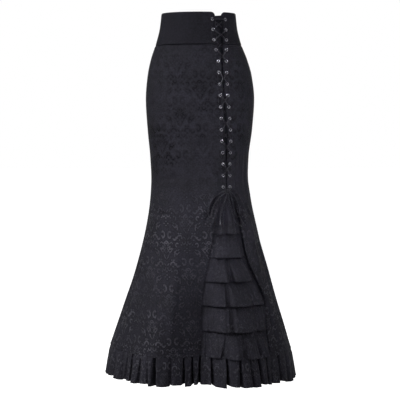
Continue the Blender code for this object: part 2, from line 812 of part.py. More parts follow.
def main():
    for thing in list(bpy.data.objects):
        bpy.data.objects.remove(thing)
    parts = collection("mermaid_fishtail_skirt")
    cutters = collection("cutters")
    cloth, metal, satin = material(*JACQUARD), material(*METAL), material(*SATIN)
    band = make_waistband(cloth, parts)
    body = make_body(cloth, parts)
    make_underlay(cloth, parts)
    make_godet(cloth, parts)
    make_hem_ruffle(cloth, parts)
    make_eyelets(metal, parts, cutters, {"band": band, "body": body})
    make_lace(satin, parts)
    make_bow(satin, metal, parts)


main()
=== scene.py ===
"""Looks of the mermaid skirt: fine cloth with its folds and gathers, damask jacquard, eyelets, lace and bow.

Metres, in the CAD model's frame: +Z up, the front faces -Y, +X is the viewer's right and the origin is
the centre of the waistband. A cloth point is an angle round the skirt from the front towards +X, a
height and a distance out from the fitted form. Grids of such points are numpy arrays.
"""

import math
from collections import namedtuple

import bmesh
import bpy
import numpy as np
from mathutils import Matrix, Vector


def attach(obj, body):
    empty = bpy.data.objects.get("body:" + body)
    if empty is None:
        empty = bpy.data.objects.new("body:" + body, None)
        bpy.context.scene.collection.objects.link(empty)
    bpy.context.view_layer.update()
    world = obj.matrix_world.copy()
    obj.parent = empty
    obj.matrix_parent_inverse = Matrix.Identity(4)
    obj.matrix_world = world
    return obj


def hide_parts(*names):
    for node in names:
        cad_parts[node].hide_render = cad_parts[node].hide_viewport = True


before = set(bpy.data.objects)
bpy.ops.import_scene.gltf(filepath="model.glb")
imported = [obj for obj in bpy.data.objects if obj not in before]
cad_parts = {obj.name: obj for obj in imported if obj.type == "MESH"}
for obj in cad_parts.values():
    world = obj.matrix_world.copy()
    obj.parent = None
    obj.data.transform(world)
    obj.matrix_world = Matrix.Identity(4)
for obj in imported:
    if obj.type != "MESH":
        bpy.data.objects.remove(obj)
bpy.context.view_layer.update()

# Camera: the photograph's frame shows 1.2 m at the skirt's distance
CAMERA_PLACE = (0.0, -4.2, -0.304)
CAMERA_AIM = (0.0, 0.0, -0.513)
SENSOR = 36.0
SEEN_WIDTH = 1.2
CAMERA_REACH = 40.0

# Studio
FLOOR_HEIGHT = -1.25
FLOOR_SIZE = 60.0
FLOOR_COLOUR = (0.96, 0.96, 0.96)
FLOOR_ROUGHNESS = 0.9
FLOOR_GLOW = 0.72
SKY_SEEN = 1.0
SKY_LIGHT = 0.36
Lamp = namedtuple("Lamp", "name place aim size power spread")
LAMPS = (
    Lamp("key", (-3.53, -1.65, 1.27), (0.0, 0.0, -0.55), 1.5, 128.0, 180),
    Lamp("fill", (3.53, -1.65, 1.27), (0.0, 0.0, -0.55), 1.5, 16.0, 180),
    Lamp("front", (-1.30, -3.85, 0.92), (0.0, 0.0, -0.55), 1.5, 18.0, 180),
    Lamp("hip_left", (-1.05, -3.90, 0.90), (0.0, 0.0, -0.40), 0.8, 0.46, 13),
    Lamp("hip_right", (2.40, -3.20, 0.90), (0.0, 0.0, -0.40), 0.8, 1.12, 13),
)

# Cloth
CLOTH = 0.0011
BAND_CLOTH = 0.0022
SEAM_GAP = 0.0006
BAND_SEAM_GAP = 0.0010
LAYER_GAP = 0.0010
GATHER_GAP = 0.0004
GODET_HEM_GAP = 0.0009
SEAM_ROLL = 0.0050
SEAM_SINK = 0.0009
FIT_ROUNDS = 4
ALLOWANCE = 0.0035
LAP = 0.0020
LAP_DROP = 0.0016
EDGE_RADIUS = 1.08
EDGE_TURNS = (0, 30, 60, 90)
EDGE_INSETS = (0.0015, 0.0032)
RUFFLE_LAP = 0.0030
RUFFLE_LAP_DEPTH = 0.0018
HEM_WIDTH = 0.0070
HEM_STEP = 0.0005
HEM_STEP_OVER = 0.001

# The fitted form, one row for each section of it, and the step in metres or radians that its slopes use
NEARBY = 0.001
Section = namedtuple("Section", "height half_width front_depth back_depth centre_x")
FORM = (
    Section(0.044, 0.1105, 0.084, 0.088, -0.0045),
    Section(0.000, 0.1150, 0.087, 0.092, -0.0045),
    Section(-0.047, 0.1270, 0.093, 0.103, -0.0045),
    Section(-0.093, 0.1435, 0.100, 0.118, -0.0030),
    Section(-0.145, 0.1560, 0.106, 0.131, -0.0010),
    Section(-0.210, 0.1620, 0.109, 0.137, 0.0),
    Section(-0.300, 0.1565, 0.111, 0.128, -0.0005),
    Section(-0.380, 0.1475, 0.112, 0.117, -0.0018),
    Section(-0.440, 0.1450, 0.113, 0.114, -0.0012),
    Section(-0.505, 0.1505, 0.118, 0.120, 0.0015),
    Section(-0.615, 0.1710, 0.137, 0.148, 0.0045),
    Section(-0.723, 0.1985, 0.163, 0.186, 0.0040),
    Section(-0.831, 0.2320, 0.197, 0.231, 0.0010),
    Section(-0.948, 0.2710, 0.238, 0.281, 0.0),
    Section(-1.017, 0.2940, 0.262, 0.310, 0.0),
)

# The largest folds of the flare: how far each moves the cloth at the hem, and where it starts
Flute = namedtuple("Flute", "angle half_width depth start")
FLUTES = (
    Flute(2, 22, -0.060, -0.55),
    Flute(-14, 12, -0.010, -0.60),
    Flute(-29, 13, 0.014, -0.60),
    Flute(-54, 11, -0.006, -0.64),
    Flute(-71, 10, 0.004, -0.66),
    Flute(26, 12, 0.006, -0.60),
    Flute(51, 12, -0.011, -0.54),
    Flute(70, 10, 0.004, -0.62),
    Flute(115, 14, 0.006, -0.62),
    Flute(134, 15, -0.012, -0.58),
    Flute(158, 14, 0.009, -0.60),
    Flute(180, 13, -0.012, -0.56),
    Flute(-157, 15, 0.010, -0.58),
    Flute(-132, 15, -0.011, -0.60),
    Flute(-112, 12, 0.005, -0.64),
)

# Seams
BAND_TOP = 0.043
BAND_SEAM = -0.0535
BAND_CORNER = 0.013
HEM_HEIGHT = -0.9535
HEM_LOWER_RIGHT = 0.0065
HEM_LOWER_FRONT = 0.0040
SIDE_SEAM = 90
CENTRE_BACK = 180

# The laced opening and the slit below it, seen from the front: the x of its two edges at each height
Edges = namedtuple("Edges", "height left right")
OPENING = (
    Edges(0.044, 0.0444, 0.0646),
    Edges(-0.040, 0.0509, 0.0681),
    Edges(-0.102, 0.0634, 0.0670),
    Edges(-0.200, 0.0690, 0.0716),
    Edges(-0.337, 0.0738, 0.0806),
    Edges(-0.404, 0.0772, 0.0784),
    Edges(-0.480, 0.0774, 0.0788),
    Edges(-0.508, 0.0614, 0.0950),
    Edges(-0.569, 0.0466, 0.1160),
    Edges(-0.608, 0.0378, 0.1260),
    Edges(-0.674, 0.0275, 0.1400),
    Edges(-0.744, 0.0144, 0.1719),
    Edges(-0.814, 0.0040, 0.1990),
    Edges(-0.886, 0.0050, 0.2040),
    Edges(-0.960, 0.0000, 0.2160),
)
SLIT_TOP = -0.480

# Eyelets
BAND_ROWS = 3
BODY_ROWS = 13
FIRST_BAND_ROW = 0.0209
LAST_BAND_ROW = -0.0397
FIRST_BODY_ROW = -0.0690
LAST_BODY_ROW = -0.4700
EYELET_INSET = 0.0106
EYELET_BORE = 0.0026
EYELET_FLANGE = 0.0048
EYELET_WASHER = 0.0047
EYELET_BARREL = 0.0034
EYELET_BEHIND = 0.0009
EYELET_FOOT = 0.0003
EYELET_DOME = 0.0011
EYELET_DOME_STEPS = 8
EYELET_STEPS = 36

# Cord
LACE = 0.0030
LACE_GAP = 0.00035
LACE_OVER_HEAD = 0.0030
LACE_BEHIND_WASHER = 0.0054
LACE_NEAR_CLOTH = 0.0020
LACE_NEAR_LINING = 0.0042
RUN_END = 0.13
LACE_MEETS_KNOT = (0.0068, 0.0030, 0.0040)
ROUTE_STEPS = 10
LACING_STEPS = 3
SHORTEST_STEP = 0.0004

# The cloth behind the lacing and in the slit
UNDERLAY_GRID = (28, 150)
UNDERLAY_TOP = 0.029
UNDERLAY_DEPTH = 0.0100
UNDERLAY_PAST_EYELET = 0.014
UNDERLAY_ABOVE_SLIT = 0.004
UNDERLAY_RISE_FROM = 0.75
BASE_COLUMNS = 52
BASE_ROWS = 96
FLAP_COLUMNS = 4
BASE_DEPTH = 0.0165
BASE_DEPTH_SIDE = 0.0100
BASE_DEEPENS = 0.045
LEFT_FORWARD_FROM = -0.59
RIGHT_FORWARD_FROM = -0.79
BASE_FORWARD_OVER = 0.07
GODET_ANGLE = 30
BASE_TUCK = 0.010
BASE_FLAP = 0.008
TIER_TUCK = 0.008
TIER_BELOW_SLIT_TOP = 0.002
TIER_GAP = 0.0025
TIER_OVERLAP = 0.011
TIER_LIFT_AT_EDGE = 0.0026
TIER_LIFT_WIDTH = 0.028
TIER_SWELL = 0.8
TIER_HEM = 0.0055
TIER_PUCKER = 0.0019
TIER_PUCKER_FADE = 1.6
TIER_UNEVEN = 0.35
TIER_ROWS = 30
TIER_COVERED_ROWS = 4
TIER_PATTERN_STEP = (0.041, 0.063)

# Flounces of the godet: where each ends, how far its lower edge stands off, and its small gathers
Tier = namedtuple("Tier", "bottom lift gathers")
TIERS = (
    Tier(-0.6080, 0.0120, 9),
    Tier(-0.6747, 0.0160, 11),
    Tier(-0.7441, 0.0185, 15),
    Tier(-0.8131, 0.0190, 19),
    Tier(-0.8851, 0.0195, 22),
    Tier(-0.9530, 0.0180, 25),
)

# Hem ruffle
RUFFLE_FALL = 0.0790
RUFFLE_HEADER = 0.0070
RUFFLE_UNDER = 0.0019
RUFFLE_FLARE = 0.008
RUFFLE_RIDGE = 0.006
RUFFLE_FLATNESS = 0.40
RUFFLE_PINCH = 0.02
RUFFLE_PINCH_AT_SEAM = 0.15
RUFFLE_PINCH_GROWTH = 3
RUFFLE_FLOOR = 0.45
RUFFLE_SEAM_RIDGE = 0.10
RUFFLE_UNEVEN = 0.0014
RUFFLE_OUT_BY = 0.12
TROUGH_SEAM_WIDTH = 0.6
TROUGH_SEAM_DEPTH = 0.35
TROUGH_DEEPENING = 0.7
RUFFLE_EDGE_STEP = 0.0028
RUFFLE_EDGE_TILT = 0.8
RUFFLE_CROWDING = 0.6
RUFFLE_FULL_FOLD = 8
RUFFLE_GODET_SET_BACK = 0.003
RUFFLE_PATTERN_START = (0.0, 0.05)
FOLD_COLUMNS = 20
RUFFLE_ROWS = 26
BACK_TROUGHS = 11
BACK_TROUGH_SWAY = 2.2
BACK_TROUGH_DEPTH_VARIES = 0.011
BACK_TROUGH_WIDTH_VARIES = 0.0015

# The troughs between the ruffle's folds: angle at the seam, further turn at the edge, depth and half width
Trough = namedtuple("Trough", "angle lean depth half_width")
FRONT_TROUGHS = (
    Trough(-90.0, 0.0, 0.004, 0.009),
    Trough(-81.0, -0.6, 0.008, 0.005),
    Trough(-73.0, 0.5, 0.002, 0.009),
    Trough(-65.0, -0.8, 0.003, 0.010),
    Trough(-57.0, 0.6, 0.002, 0.008),
    Trough(-51.5, -0.5, 0.003, 0.007),
    Trough(-46.2, -0.6, 0.016, 0.006),
    Trough(-38.0, -1.4, 0.006, 0.008),
    Trough(-32.0, 0.6, 0.003, 0.006),
    Trough(-27.5, 0.5, 0.030, 0.009),
    Trough(-18.5, -0.4, 0.009, 0.009),
    Trough(-11.0, 0.0, 0.030, 0.006),
    Trough(-5.6, 0.4, 0.030, 0.006),
    Trough(0.0, -0.6, 0.030, 0.006),
    Trough(8.6, 0.6, 0.018, 0.007),
    Trough(17.6, 0.4, 0.026, 0.006),
    Trough(24.6, 0.3, 0.030, 0.006),
    Trough(31.5, 2.2, 0.006, 0.006),
    Trough(38.4, 2.2, 0.030, 0.008),
    Trough(46.5, 0.6, 0.018, 0.006),
    Trough(51.5, -0.6, 0.002, 0.008),
    Trough(58.0, 0.6, 0.028, 0.008),
    Trough(65.0, 0.4, 0.004, 0.009),
    Trough(73.5, -0.6, 0.012, 0.006),
    Trough(82.0, 0.5, 0.004, 0.009),
    Trough(90.0, 0.0, 0.006, 0.008),
)
BACK_TROUGH = Trough(0.0, 0.0, 0.015, 0.0075)

# Bow: routes from the knot, as distance across, rise and distance out
KNOT_DROP = 0.0115
KNOT_SIZE = (0.0066, 0.0036, 0.0050)
KNOT_OUT = 0.0042
KNOT_STEPS = 72
BOW_LOOP_LEFT = (
    (-0.0072, -0.0002, 0.0045), (-0.0200, -0.0035, 0.0055), (-0.0345, -0.0125, 0.0045),
    (-0.0480, -0.0265, 0.0028), (-0.0565, -0.0450, 0.0024), (-0.0600, -0.0620, 0.0024),
    (-0.0585, -0.0735, 0.0024), (-0.0530, -0.0700, 0.0024), (-0.0480, -0.0540, 0.0026),
    (-0.0405, -0.0360, 0.0040), (-0.0280, -0.0190, 0.0080), (-0.0150, -0.0090, 0.0065),
    (-0.0053, -0.0039, 0.0040),
)  # fmt: skip
BOW_LOOP_RIGHT = (
    (0.0072, -0.0008, 0.0045), (0.0160, -0.0080, 0.0050), (0.0260, -0.0240, 0.0040),
    (0.0320, -0.0440, 0.0030), (0.0330, -0.0620, 0.0026), (0.0280, -0.0740, 0.0026),
    (0.0205, -0.0755, 0.0026), (0.0160, -0.0660, 0.0026), (0.0150, -0.0480, 0.0026),
    (0.0120, -0.0280, 0.0026), (0.0085, -0.0120, 0.0032), (0.0053, -0.0040, 0.0040),
)  # fmt: skip
LACE_END_LEFT = (
    (-0.0022, -0.0054, 0.0038), (-0.0070, -0.0190, 0.0026), (-0.0150, -0.0360, 0.0024),
    (-0.0235, -0.0560, 0.0024), (-0.0285, -0.0740, 0.0026), (-0.0300, -0.0860, 0.0028),
)  # fmt: skip
LACE_END_RIGHT = (
    (0.0016, -0.0056, 0.0038), (0.0024, -0.0230, 0.0028), (0.0058, -0.0460, 0.0030),
    (0.0078, -0.0640, 0.0034), (0.0092, -0.0810, 0.0040), (0.0140, -0.0925, 0.0044),
    (0.0215, -0.0985, 0.0044),
)  # fmt: skip
TOUCH_GAP = 0.0003


# ---------------------------------------------------------------- curves of the form


def smooth(value):
    """0 below 0, 1 above 1, and a soft step between."""
    value = np.clip(value, 0.0, 1.0)
    return value * value * (3 - 2 * value)


def mix(first, second, share):
    return first + (second - first) * share


def read(rows, field, height):
    """A column of a table at these heights, on a curve that never overshoots its rows."""
    heights = np.array([row.height for row in rows])
    values = np.array([getattr(row, field) for row in rows])
    rises = np.diff(values) / np.diff(heights)
    slopes = np.zeros(len(rows))
    slopes[0], slopes[-1] = rises[0], rises[-1]
    before, after = rises[:-1], rises[1:]
    same = before * after > 0
    total = np.where(same, before + after, 1.0)
    slopes[1:-1] = np.where(same, 2 * before * after / total, 0.0)
    height = np.asarray(height, float)
    place = np.clip(np.searchsorted(-heights, -height, side="right") - 1, 0, len(rows) - 2)
    span = heights[place + 1] - heights[place]
    share = np.clip((height - heights[place]) / span, 0.0, 1.0)
    inside = mix(values[place], values[place + 1], share * share * (3 - 2 * share))
    inside = inside + share * (1 - share) ** 2 * span * slopes[place]
    inside = inside + share * share * (share - 1) * span * slopes[place + 1]
    above = np.maximum(0, height - heights[0]) * rises[0]
    below = np.minimum(0, height - heights[-1]) * rises[-1]
    return inside + above + below


def fluting(angle, height):
    """How far the folds of the flare move the cloth out."""
    total = 0.0
    for flute in FLUTES:
        away = np.abs((np.degrees(angle) - flute.angle + 180) % 360 - 180) / flute.half_width
        growth = smooth((flute.start - height) / (flute.start - HEM_HEIGHT))
        total = total + flute.depth * growth * (1 - smooth(away))
    return total


def form_point(angle, height):
    angle, height = np.broadcast_arrays(angle, height)
    front, back = read(FORM, "front_depth", height), read(FORM, "back_depth", height)
    depth = np.where(np.cos(angle) > 0, front, back)
    across = read(FORM, "centre_x", height) + read(FORM, "half_width", height) * np.sin(angle)
    return np.stack((across, -depth * np.cos(angle), height), axis=-1)


def girth_rate(angle, height):
    """Metres of cloth for each radian round the form."""
    apart = form_point(angle + NEARBY, height) - form_point(angle - NEARBY, height)
    return np.linalg.norm(apart, axis=-1) / (2 * NEARBY)


def unit(vectors):
    return vectors / np.linalg.norm(vectors, axis=-1, keepdims=True)


def normal_at(angle, height):
    around = form_point(angle + NEARBY, height) - form_point(angle - NEARBY, height)
    up = form_point(angle, height + NEARBY) - form_point(angle, height - NEARBY)
    return unit(np.cross(around, up))


def outward(angle, height):
    """The level direction that points straight out of the cloth."""
    return unit(normal_at(angle, height) * np.array((1.0, 1.0, 0.0)))


def skin(angle, height, out=0.0):
    """The point of the skirt's outer face at this angle and height, moved out on the level."""
    move = np.asarray(out + fluting(angle, height))[..., None]
    return form_point(angle, height) + outward(angle, height) * move


def angle_of_x(x, height):
    return np.arcsin((x - read(FORM, "centre_x", height)) / read(FORM, "half_width", height))


def opening_edge(side, height):
    """The angle of the opening's edge: side is -1 for the front panel and 1 for the side front."""
    return angle_of_x(read(OPENING, "left" if side < 0 else "right", height), height)


def slit_span(height):
    """The angles of the slit's two edges, closed above its top."""
    height = np.minimum(height, SLIT_TOP)
    return opening_edge(-1, height), opening_edge(1, height)


def hem_height(angle):
    lean = HEM_LOWER_RIGHT * np.sin(angle) + HEM_LOWER_FRONT * np.cos(angle)
    return HEM_HEIGHT - lean


def row_heights():
    """The height of each row of eyelets, from the top."""
    band = [mix(FIRST_BAND_ROW, LAST_BAND_ROW, row / (BAND_ROWS - 1)) for row in range(BAND_ROWS)]
    body = [mix(FIRST_BODY_ROW, LAST_BODY_ROW, row / (BODY_ROWS - 1)) for row in range(BODY_ROWS)]
    return band + body


def eyelet_angle(side, height):
    edge = opening_edge(side, height)
    return edge + side * EYELET_INSET / girth_rate(edge, height)


# ---------------------------------------------------------------- studio


def aim(thing, target):
    direction = Vector(target) - thing.location
    thing.rotation_euler = direction.to_track_quat("-Z", "Y").to_euler()


def link(thing):
    bpy.context.scene.collection.objects.link(thing)
    return thing


def make_camera():
    camera = link(bpy.data.objects.new("camera", bpy.data.cameras.new("camera")))
    camera.location = CAMERA_PLACE
    aim(camera, CAMERA_AIM)
    distance = (Vector(CAMERA_AIM) - Vector(CAMERA_PLACE)).length
    camera.data.sensor_width = SENSOR
    camera.data.lens = SENSOR * distance / SEEN_WIDTH
    camera.data.clip_end = CAMERA_REACH
    bpy.context.scene.camera = camera


def make_lamps():
    for lamp in LAMPS:
        light = bpy.data.lights.new(lamp.name, "AREA")
        light.shape = "DISK"
        light.size = lamp.size
        light.energy = lamp.power
        light.spread = math.radians(lamp.spread)
        thing = link(bpy.data.objects.new(lamp.name, light))
        thing.location = lamp.place
        aim(thing, lamp.aim)


def make_sky():
    """A white studio, dimmer as a light than it looks, so that the lamps shape the folds."""
    world = bpy.data.worlds.new("studio")
    world.use_nodes = True
    bpy.context.scene.world = world
    graph = Graph(world.node_tree)
    background = world.node_tree.nodes["Background"]
    background.inputs["Color"].default_value = (1, 1, 1, 1)
    seen = graph.node("ShaderNodeLightPath").outputs["Is Camera Ray"]
    graph.put(graph.span(seen, 0.0, 1.0, SKY_LIGHT, SKY_SEEN, soft=False), background.inputs["Strength"])


def make_floor():
    mesh = bpy.data.meshes.new("floor")
    half = FLOOR_SIZE / 2
    corners = [(-half, -half, 0), (half, -half, 0), (half, half, 0), (-half, half, 0)]
    mesh.from_pydata(corners, [], [(0, 1, 2, 3)])
    floor = link(bpy.data.objects.new("floor", mesh))
    floor.location.z = FLOOR_HEIGHT
    look = bpy.data.materials.new("floor_paper")
    look.use_nodes = True
    shader = look.node_tree.nodes["Principled BSDF"]
    shader.inputs["Base Color"].default_value = (*FLOOR_COLOUR, 1)
    shader.inputs["Roughness"].default_value = FLOOR_ROUGHNESS
    shader.inputs["Specular IOR Level"].default_value = 0.0
    shader.inputs["Emission Color"].default_value = (1, 1, 1, 1)
    shader.inputs["Emission Strength"].default_value = FLOOR_GLOW
    floor.visible_diffuse = False
    floor.visible_glossy = False
    mesh.materials.append(look)


# ---------------------------------------------------------------- materials


class Graph:
    """Short calls for the node graphs below. A value is a socket or a constant."""

    def __init__(self, tree):
        self.tree = tree

    def node(self, kind, inputs=(), **settings):
        made = self.tree.nodes.new(kind)
        for name, value in settings.items():
            setattr(made, name, value)
        for name, value in dict(inputs).items():
            self.put(value, made.inputs[name])
        return made

    def put(self, value, socket):
        if isinstance(value, bpy.types.NodeSocket):
            self.tree.links.new(value, socket)
        else:
            socket.default_value = value

    def math(self, operation, *values):
        made = self.tree.nodes.new("ShaderNodeMath")
        made.operation = operation
        for value, socket in zip(values, made.inputs):
            self.put(value, socket)
        return made.outputs[0]

    def vector(self, operation, *values):
        made = self.tree.nodes.new("ShaderNodeVectorMath")
        made.operation = operation
        for value, socket in zip(values, made.inputs):
            self.put(value, socket)
        measures = ("DISTANCE", "DOT_PRODUCT", "LENGTH")
        return made.outputs["Value" if operation in measures else "Vector"]

    def plus(self, first, second):
        return self.math("ADD", first, second)

    def minus(self, first, second):
        return self.math("SUBTRACT", first, second)

    def times(self, first, second):
        return self.math("MULTIPLY", first, second)

    def split(self, vector):
        return self.node("ShaderNodeSeparateXYZ", {"Vector": vector}).outputs

    def join(self, x, y, z=0.0):
        return self.node("ShaderNodeCombineXYZ", {"X": x, "Y": y, "Z": z}).outputs[0]

    def span(self, value, low, high, to_low=0.0, to_high=1.0, soft=True):
        kind = "SMOOTHSTEP" if soft else "LINEAR"
        inputs = {"Value": value, "From Min": low, "From Max": high, "To Min": to_low, "To Max": to_high}
        return self.node("ShaderNodeMapRange", inputs, interpolation_type=kind).outputs[0]

    def place(self):
        return self.node("ShaderNodeTexCoord").outputs["Object"]

    def noise(self, place, pattern):
        names = ("Vector", "Scale", "Detail", "Roughness")
        return self.node("ShaderNodeTexNoise", zip(names, (place, *pattern))).outputs["Fac"]

    def vary(self, noise, low, high):
        """A noise stretched from its usual reach to this one."""
        return self.span(noise, *NOISE_REACH, low, high)

    def bump(self, height, strength, shader):
        made = self.node("ShaderNodeBump", {"Strength": strength, "Distance": 1.0, "Height": height})
        self.put(made.outputs[0], shader.inputs["Normal"])

    def largest(self, values):
        total = values[0]
        for value in values[1:]:
            total = self.math("MAXIMUM", total, value)
        return total

    def colour_mix(self, share, first, second, blend="MIX"):
        made = self.node("ShaderNodeMix", data_type="RGBA", blend_type=blend)
        factor, colour_a, colour_b = made.inputs[0], made.inputs[6], made.inputs[7]
        for value, socket in ((share, factor), (first, colour_a), (second, colour_b)):
            self.put(value, socket)
        return made.outputs[2]


# The damask, in millimetres: v runs down from the scrolls, and every piece is mirrored across u = 0
REPEAT_WIDE = 129.0
REPEAT_TALL = 157.0
MOTIF_TOP = -14.0
OUTLINE_WIDE = 3.6
OUTLINE_SOFT = 1.4
OUTLINE_NEAR = 0.3
FIGURE_SOFT = 0.5
# Scroll: an open ring, cut off where cut_u, cut_v points to
Scroll = namedtuple("Scroll", "u v radius_u radius_v stroke cut_u cut_v cut_at")
SCROLLS = (
    Scroll(12.5, 0.0, 7.0, 9.0, 4.6, 1.0, 0.15, 3.4),
    Scroll(28.0, 9.0, 5.0, 6.0, 3.4, -0.4, -1.0, 2.0),
    Scroll(0.0, 27.0, 6.5, 8.0, 3.0, 0.0, 1.0, 5.0),
    Scroll(14.0, 37.0, 5.0, 5.0, 3.0, 0.6, -1.0, 2.0),
    Scroll(31.0, 60.0, 4.5, 5.5, 3.2, 0.6, 1.0, 2.0),
    Scroll(21.0, 88.0, 7.5, 8.0, 4.4, 0.0, 1.0, 1.5),
    Scroll(8.5, 99.0, 5.0, 5.5, 3.2, 0.2, -1.0, 2.0),
    Scroll(29.0, 108.0, 4.5, 5.5, 3.2, -0.8, 0.6, 2.0),
)
# Leaf: pointed at both ends
Leaf = namedtuple("Leaf", "u v to_u to_v width")
LEAVES = (
    Leaf(-0.5, 29.0, 5.5, 20.0, 2.6),
    Leaf(5.0, 20.0, 10.5, 29.0, 2.6),
    Leaf(10.0, 29.0, 16.0, 20.0, 2.6),
    Leaf(15.5, 20.0, 22.0, 27.0, 2.6),
    Leaf(34.0, 43.0, 25.0, 57.0, 3.4),
    Leaf(35.5, 47.0, 43.0, 41.0, 3.0),
    Leaf(24.0, 38.0, 10.0, 56.0, 3.2),
    Leaf(-0.5, 36.0, 12.0, 52.0, 2.4),
    Leaf(8.0, 34.0, 18.0, 46.0, 2.4),
    Leaf(16.0, 35.0, 0.0, 56.0, 2.4),
    Leaf(12.0, 55.0, 0.0, 74.0, 3.0),
    Leaf(1.0, 92.0, 10.0, 82.0, 3.0),
    Leaf(20.0, 126.0, 32.0, 138.0, 3.0),
    Leaf(29.0, 122.0, 41.0, 131.0, 2.6),
)
Bud = namedtuple("Bud", "u v radius")
BUDS = (
    Bud(15.5, 4.5, 2.4),
    Bud(28.0, 13.0, 2.4),
    Bud(0.0, 26.0, 2.6),
    Bud(24.0, 74.0, 2.8),
    Bud(17.0, 74.0, 2.4),
    Bud(21.0, 93.0, 2.4),
    Bud(0.0, 108.0, 2.8),
    Bud(16.0, 107.0, 2.4),
    Bud(12.0, 51.0, 1.8),
    Bud(5.0, 37.0, 1.7),
    Bud(13.0, 34.0, 1.7),
    Bud(6.0, 60.0, 1.8),
    Bud(0.0, 118.0, 2.2),
    Bud(0.0, 130.0, 2.2),
    Bud(7.0, 124.0, 2.4),
)


def motif_group():
    """One damask motif as a node group: how far inside its figures a point lies, in millimetres."""
    tree = bpy.data.node_groups.new("damask_motif", "ShaderNodeTree")
    tree.interface.new_socket("Place", in_out="INPUT", socket_type="NodeSocketVector")
    tree.interface.new_socket("Inside", in_out="OUTPUT", socket_type="NodeSocketFloat")
    graph = Graph(tree)
    place = graph.node("NodeGroupInput").outputs[0]
    u, v, _ = graph.split(place)
    figures = []
    for scroll in SCROLLS:
        down = graph.times(graph.minus(v, scroll.v), scroll.radius_u / scroll.radius_v)
        flat = graph.join(graph.minus(u, scroll.u), down)
        ring = graph.math("ABSOLUTE", graph.minus(graph.vector("LENGTH", flat), scroll.radius_u))
        inside = graph.minus(scroll.stroke / 2, ring)
        beyond = graph.vector("DOT_PRODUCT", flat, (scroll.cut_u, scroll.cut_v, 0.0))
        figures.append(graph.math("MINIMUM", inside, graph.minus(scroll.cut_at, beyond)))
    for leaf in LEAVES:
        start, end = Vector((leaf.u, leaf.v, 0)), Vector((leaf.to_u, leaf.to_v, 0))
        along = end - start
        aside = Vector((-along.y, along.x, 0)).normalized()
        half, belly = along.length / 2, leaf.width / 2
        radius = (half * half + belly * belly) / (2 * belly)
        middle = (start + end) / 2
        near = [tuple(middle + aside * side * (radius - belly)) for side in (1, -1)]
        far = graph.math("MAXIMUM", *(graph.vector("DISTANCE", place, spot) for spot in near))
        figures.append(graph.minus(radius, far))
    for bud in BUDS:
        figures.append(graph.minus(bud.radius, graph.vector("DISTANCE", place, (bud.u, bud.v, 0))))
    out = graph.node("NodeGroupOutput")
    graph.put(graph.largest(figures), out.inputs[0])
    return tree


def damask_group():
    """The half-drop repeat of the motif: 1 on its figures, and 1 on the outline round them, where the
    jacquard paints shade.
    """
    motif = motif_group()
    tree = bpy.data.node_groups.new("damask", "ShaderNodeTree")
    tree.interface.new_socket("Cloth", in_out="INPUT", socket_type="NodeSocketVector")
    tree.interface.new_socket("Figure", in_out="OUTPUT", socket_type="NodeSocketFloat")
    tree.interface.new_socket("Outline", in_out="OUTPUT", socket_type="NodeSocketFloat")
    graph = Graph(tree)
    metres = graph.node("NodeGroupInput").outputs[0]
    u, v, _ = graph.split(graph.vector("MULTIPLY", metres, (1000.0, 1000.0, 1000.0)))
    found = []
    for shift in (0.0, 0.5):
        shifted_u, shifted_v = graph.plus(u, shift * REPEAT_WIDE), graph.plus(v, shift * REPEAT_TALL)
        across = graph.math("WRAP", shifted_u, REPEAT_WIDE / 2, -REPEAT_WIDE / 2)
        down = graph.math("WRAP", shifted_v, MOTIF_TOP + REPEAT_TALL, MOTIF_TOP)
        cell = graph.node("ShaderNodeGroup", node_tree=motif)
        graph.put(graph.join(graph.math("ABSOLUTE", across), down), cell.inputs[0])
        found.append(cell.outputs[0])
    inside = graph.largest(found)
    figure = graph.span(inside, -FIGURE_SOFT, FIGURE_SOFT)
    halo = graph.span(inside, -OUTLINE_WIDE, OUTLINE_SOFT - OUTLINE_WIDE)
    outline = graph.times(halo, graph.span(inside, FIGURE_SOFT, -OUTLINE_NEAR))
    out = graph.node("NodeGroupOutput")
    graph.put(figure, out.inputs[0])
    graph.put(outline, out.inputs[1])
    return tree


def new_material(name):
    made = bpy.data.materials.new(name)
    made.use_nodes = True
    graph = Graph(made.node_tree)
    return made, graph, made.node_tree.nodes["Principled BSDF"]


# Noises: LIE stands for how the pile lies to the light and PATCHES for where the figures fade; both vary the
# strength of the figures' painted sheen and shade at random
Noise = namedtuple("Noise", "scale detail roughness")
LIE = Noise(34.0, 2.0, 0.5)
PATCHES = Noise(9.0, 1.0, 0.5)
WEAR = Noise(16.0, 5.0, 0.65)
FIBRES = Noise(900.0, 2.0, 0.5)
SLUBS = Noise(260.0, 3.0, 0.5)
FUZZ = Noise(1500.0, 2.0, 0.5)
PLATE_GRAIN = Noise(700.0, 3.0, 0.5)
WINDING = Noise(160.0, 2.0, 0.5)
LUSTRE = Noise(34.0, 1.0, 0.5)
NOISE_REACH = (0.3, 0.7)

# Jacquard, with its kinds: how strongly each shows the figures, and how light its ground is
GROUND = (0.0085, 0.0080, 0.0118)
# The figures' colours: painted shade on the hips, darker than the ground, and painted sheen on the flare,
# lighter than it
FIGURE_SHADE_UPPER = (0.0012, 0.0012, 0.0020)
FIGURE_SHEEN_FLARE = (0.0330, 0.0320, 0.0400)
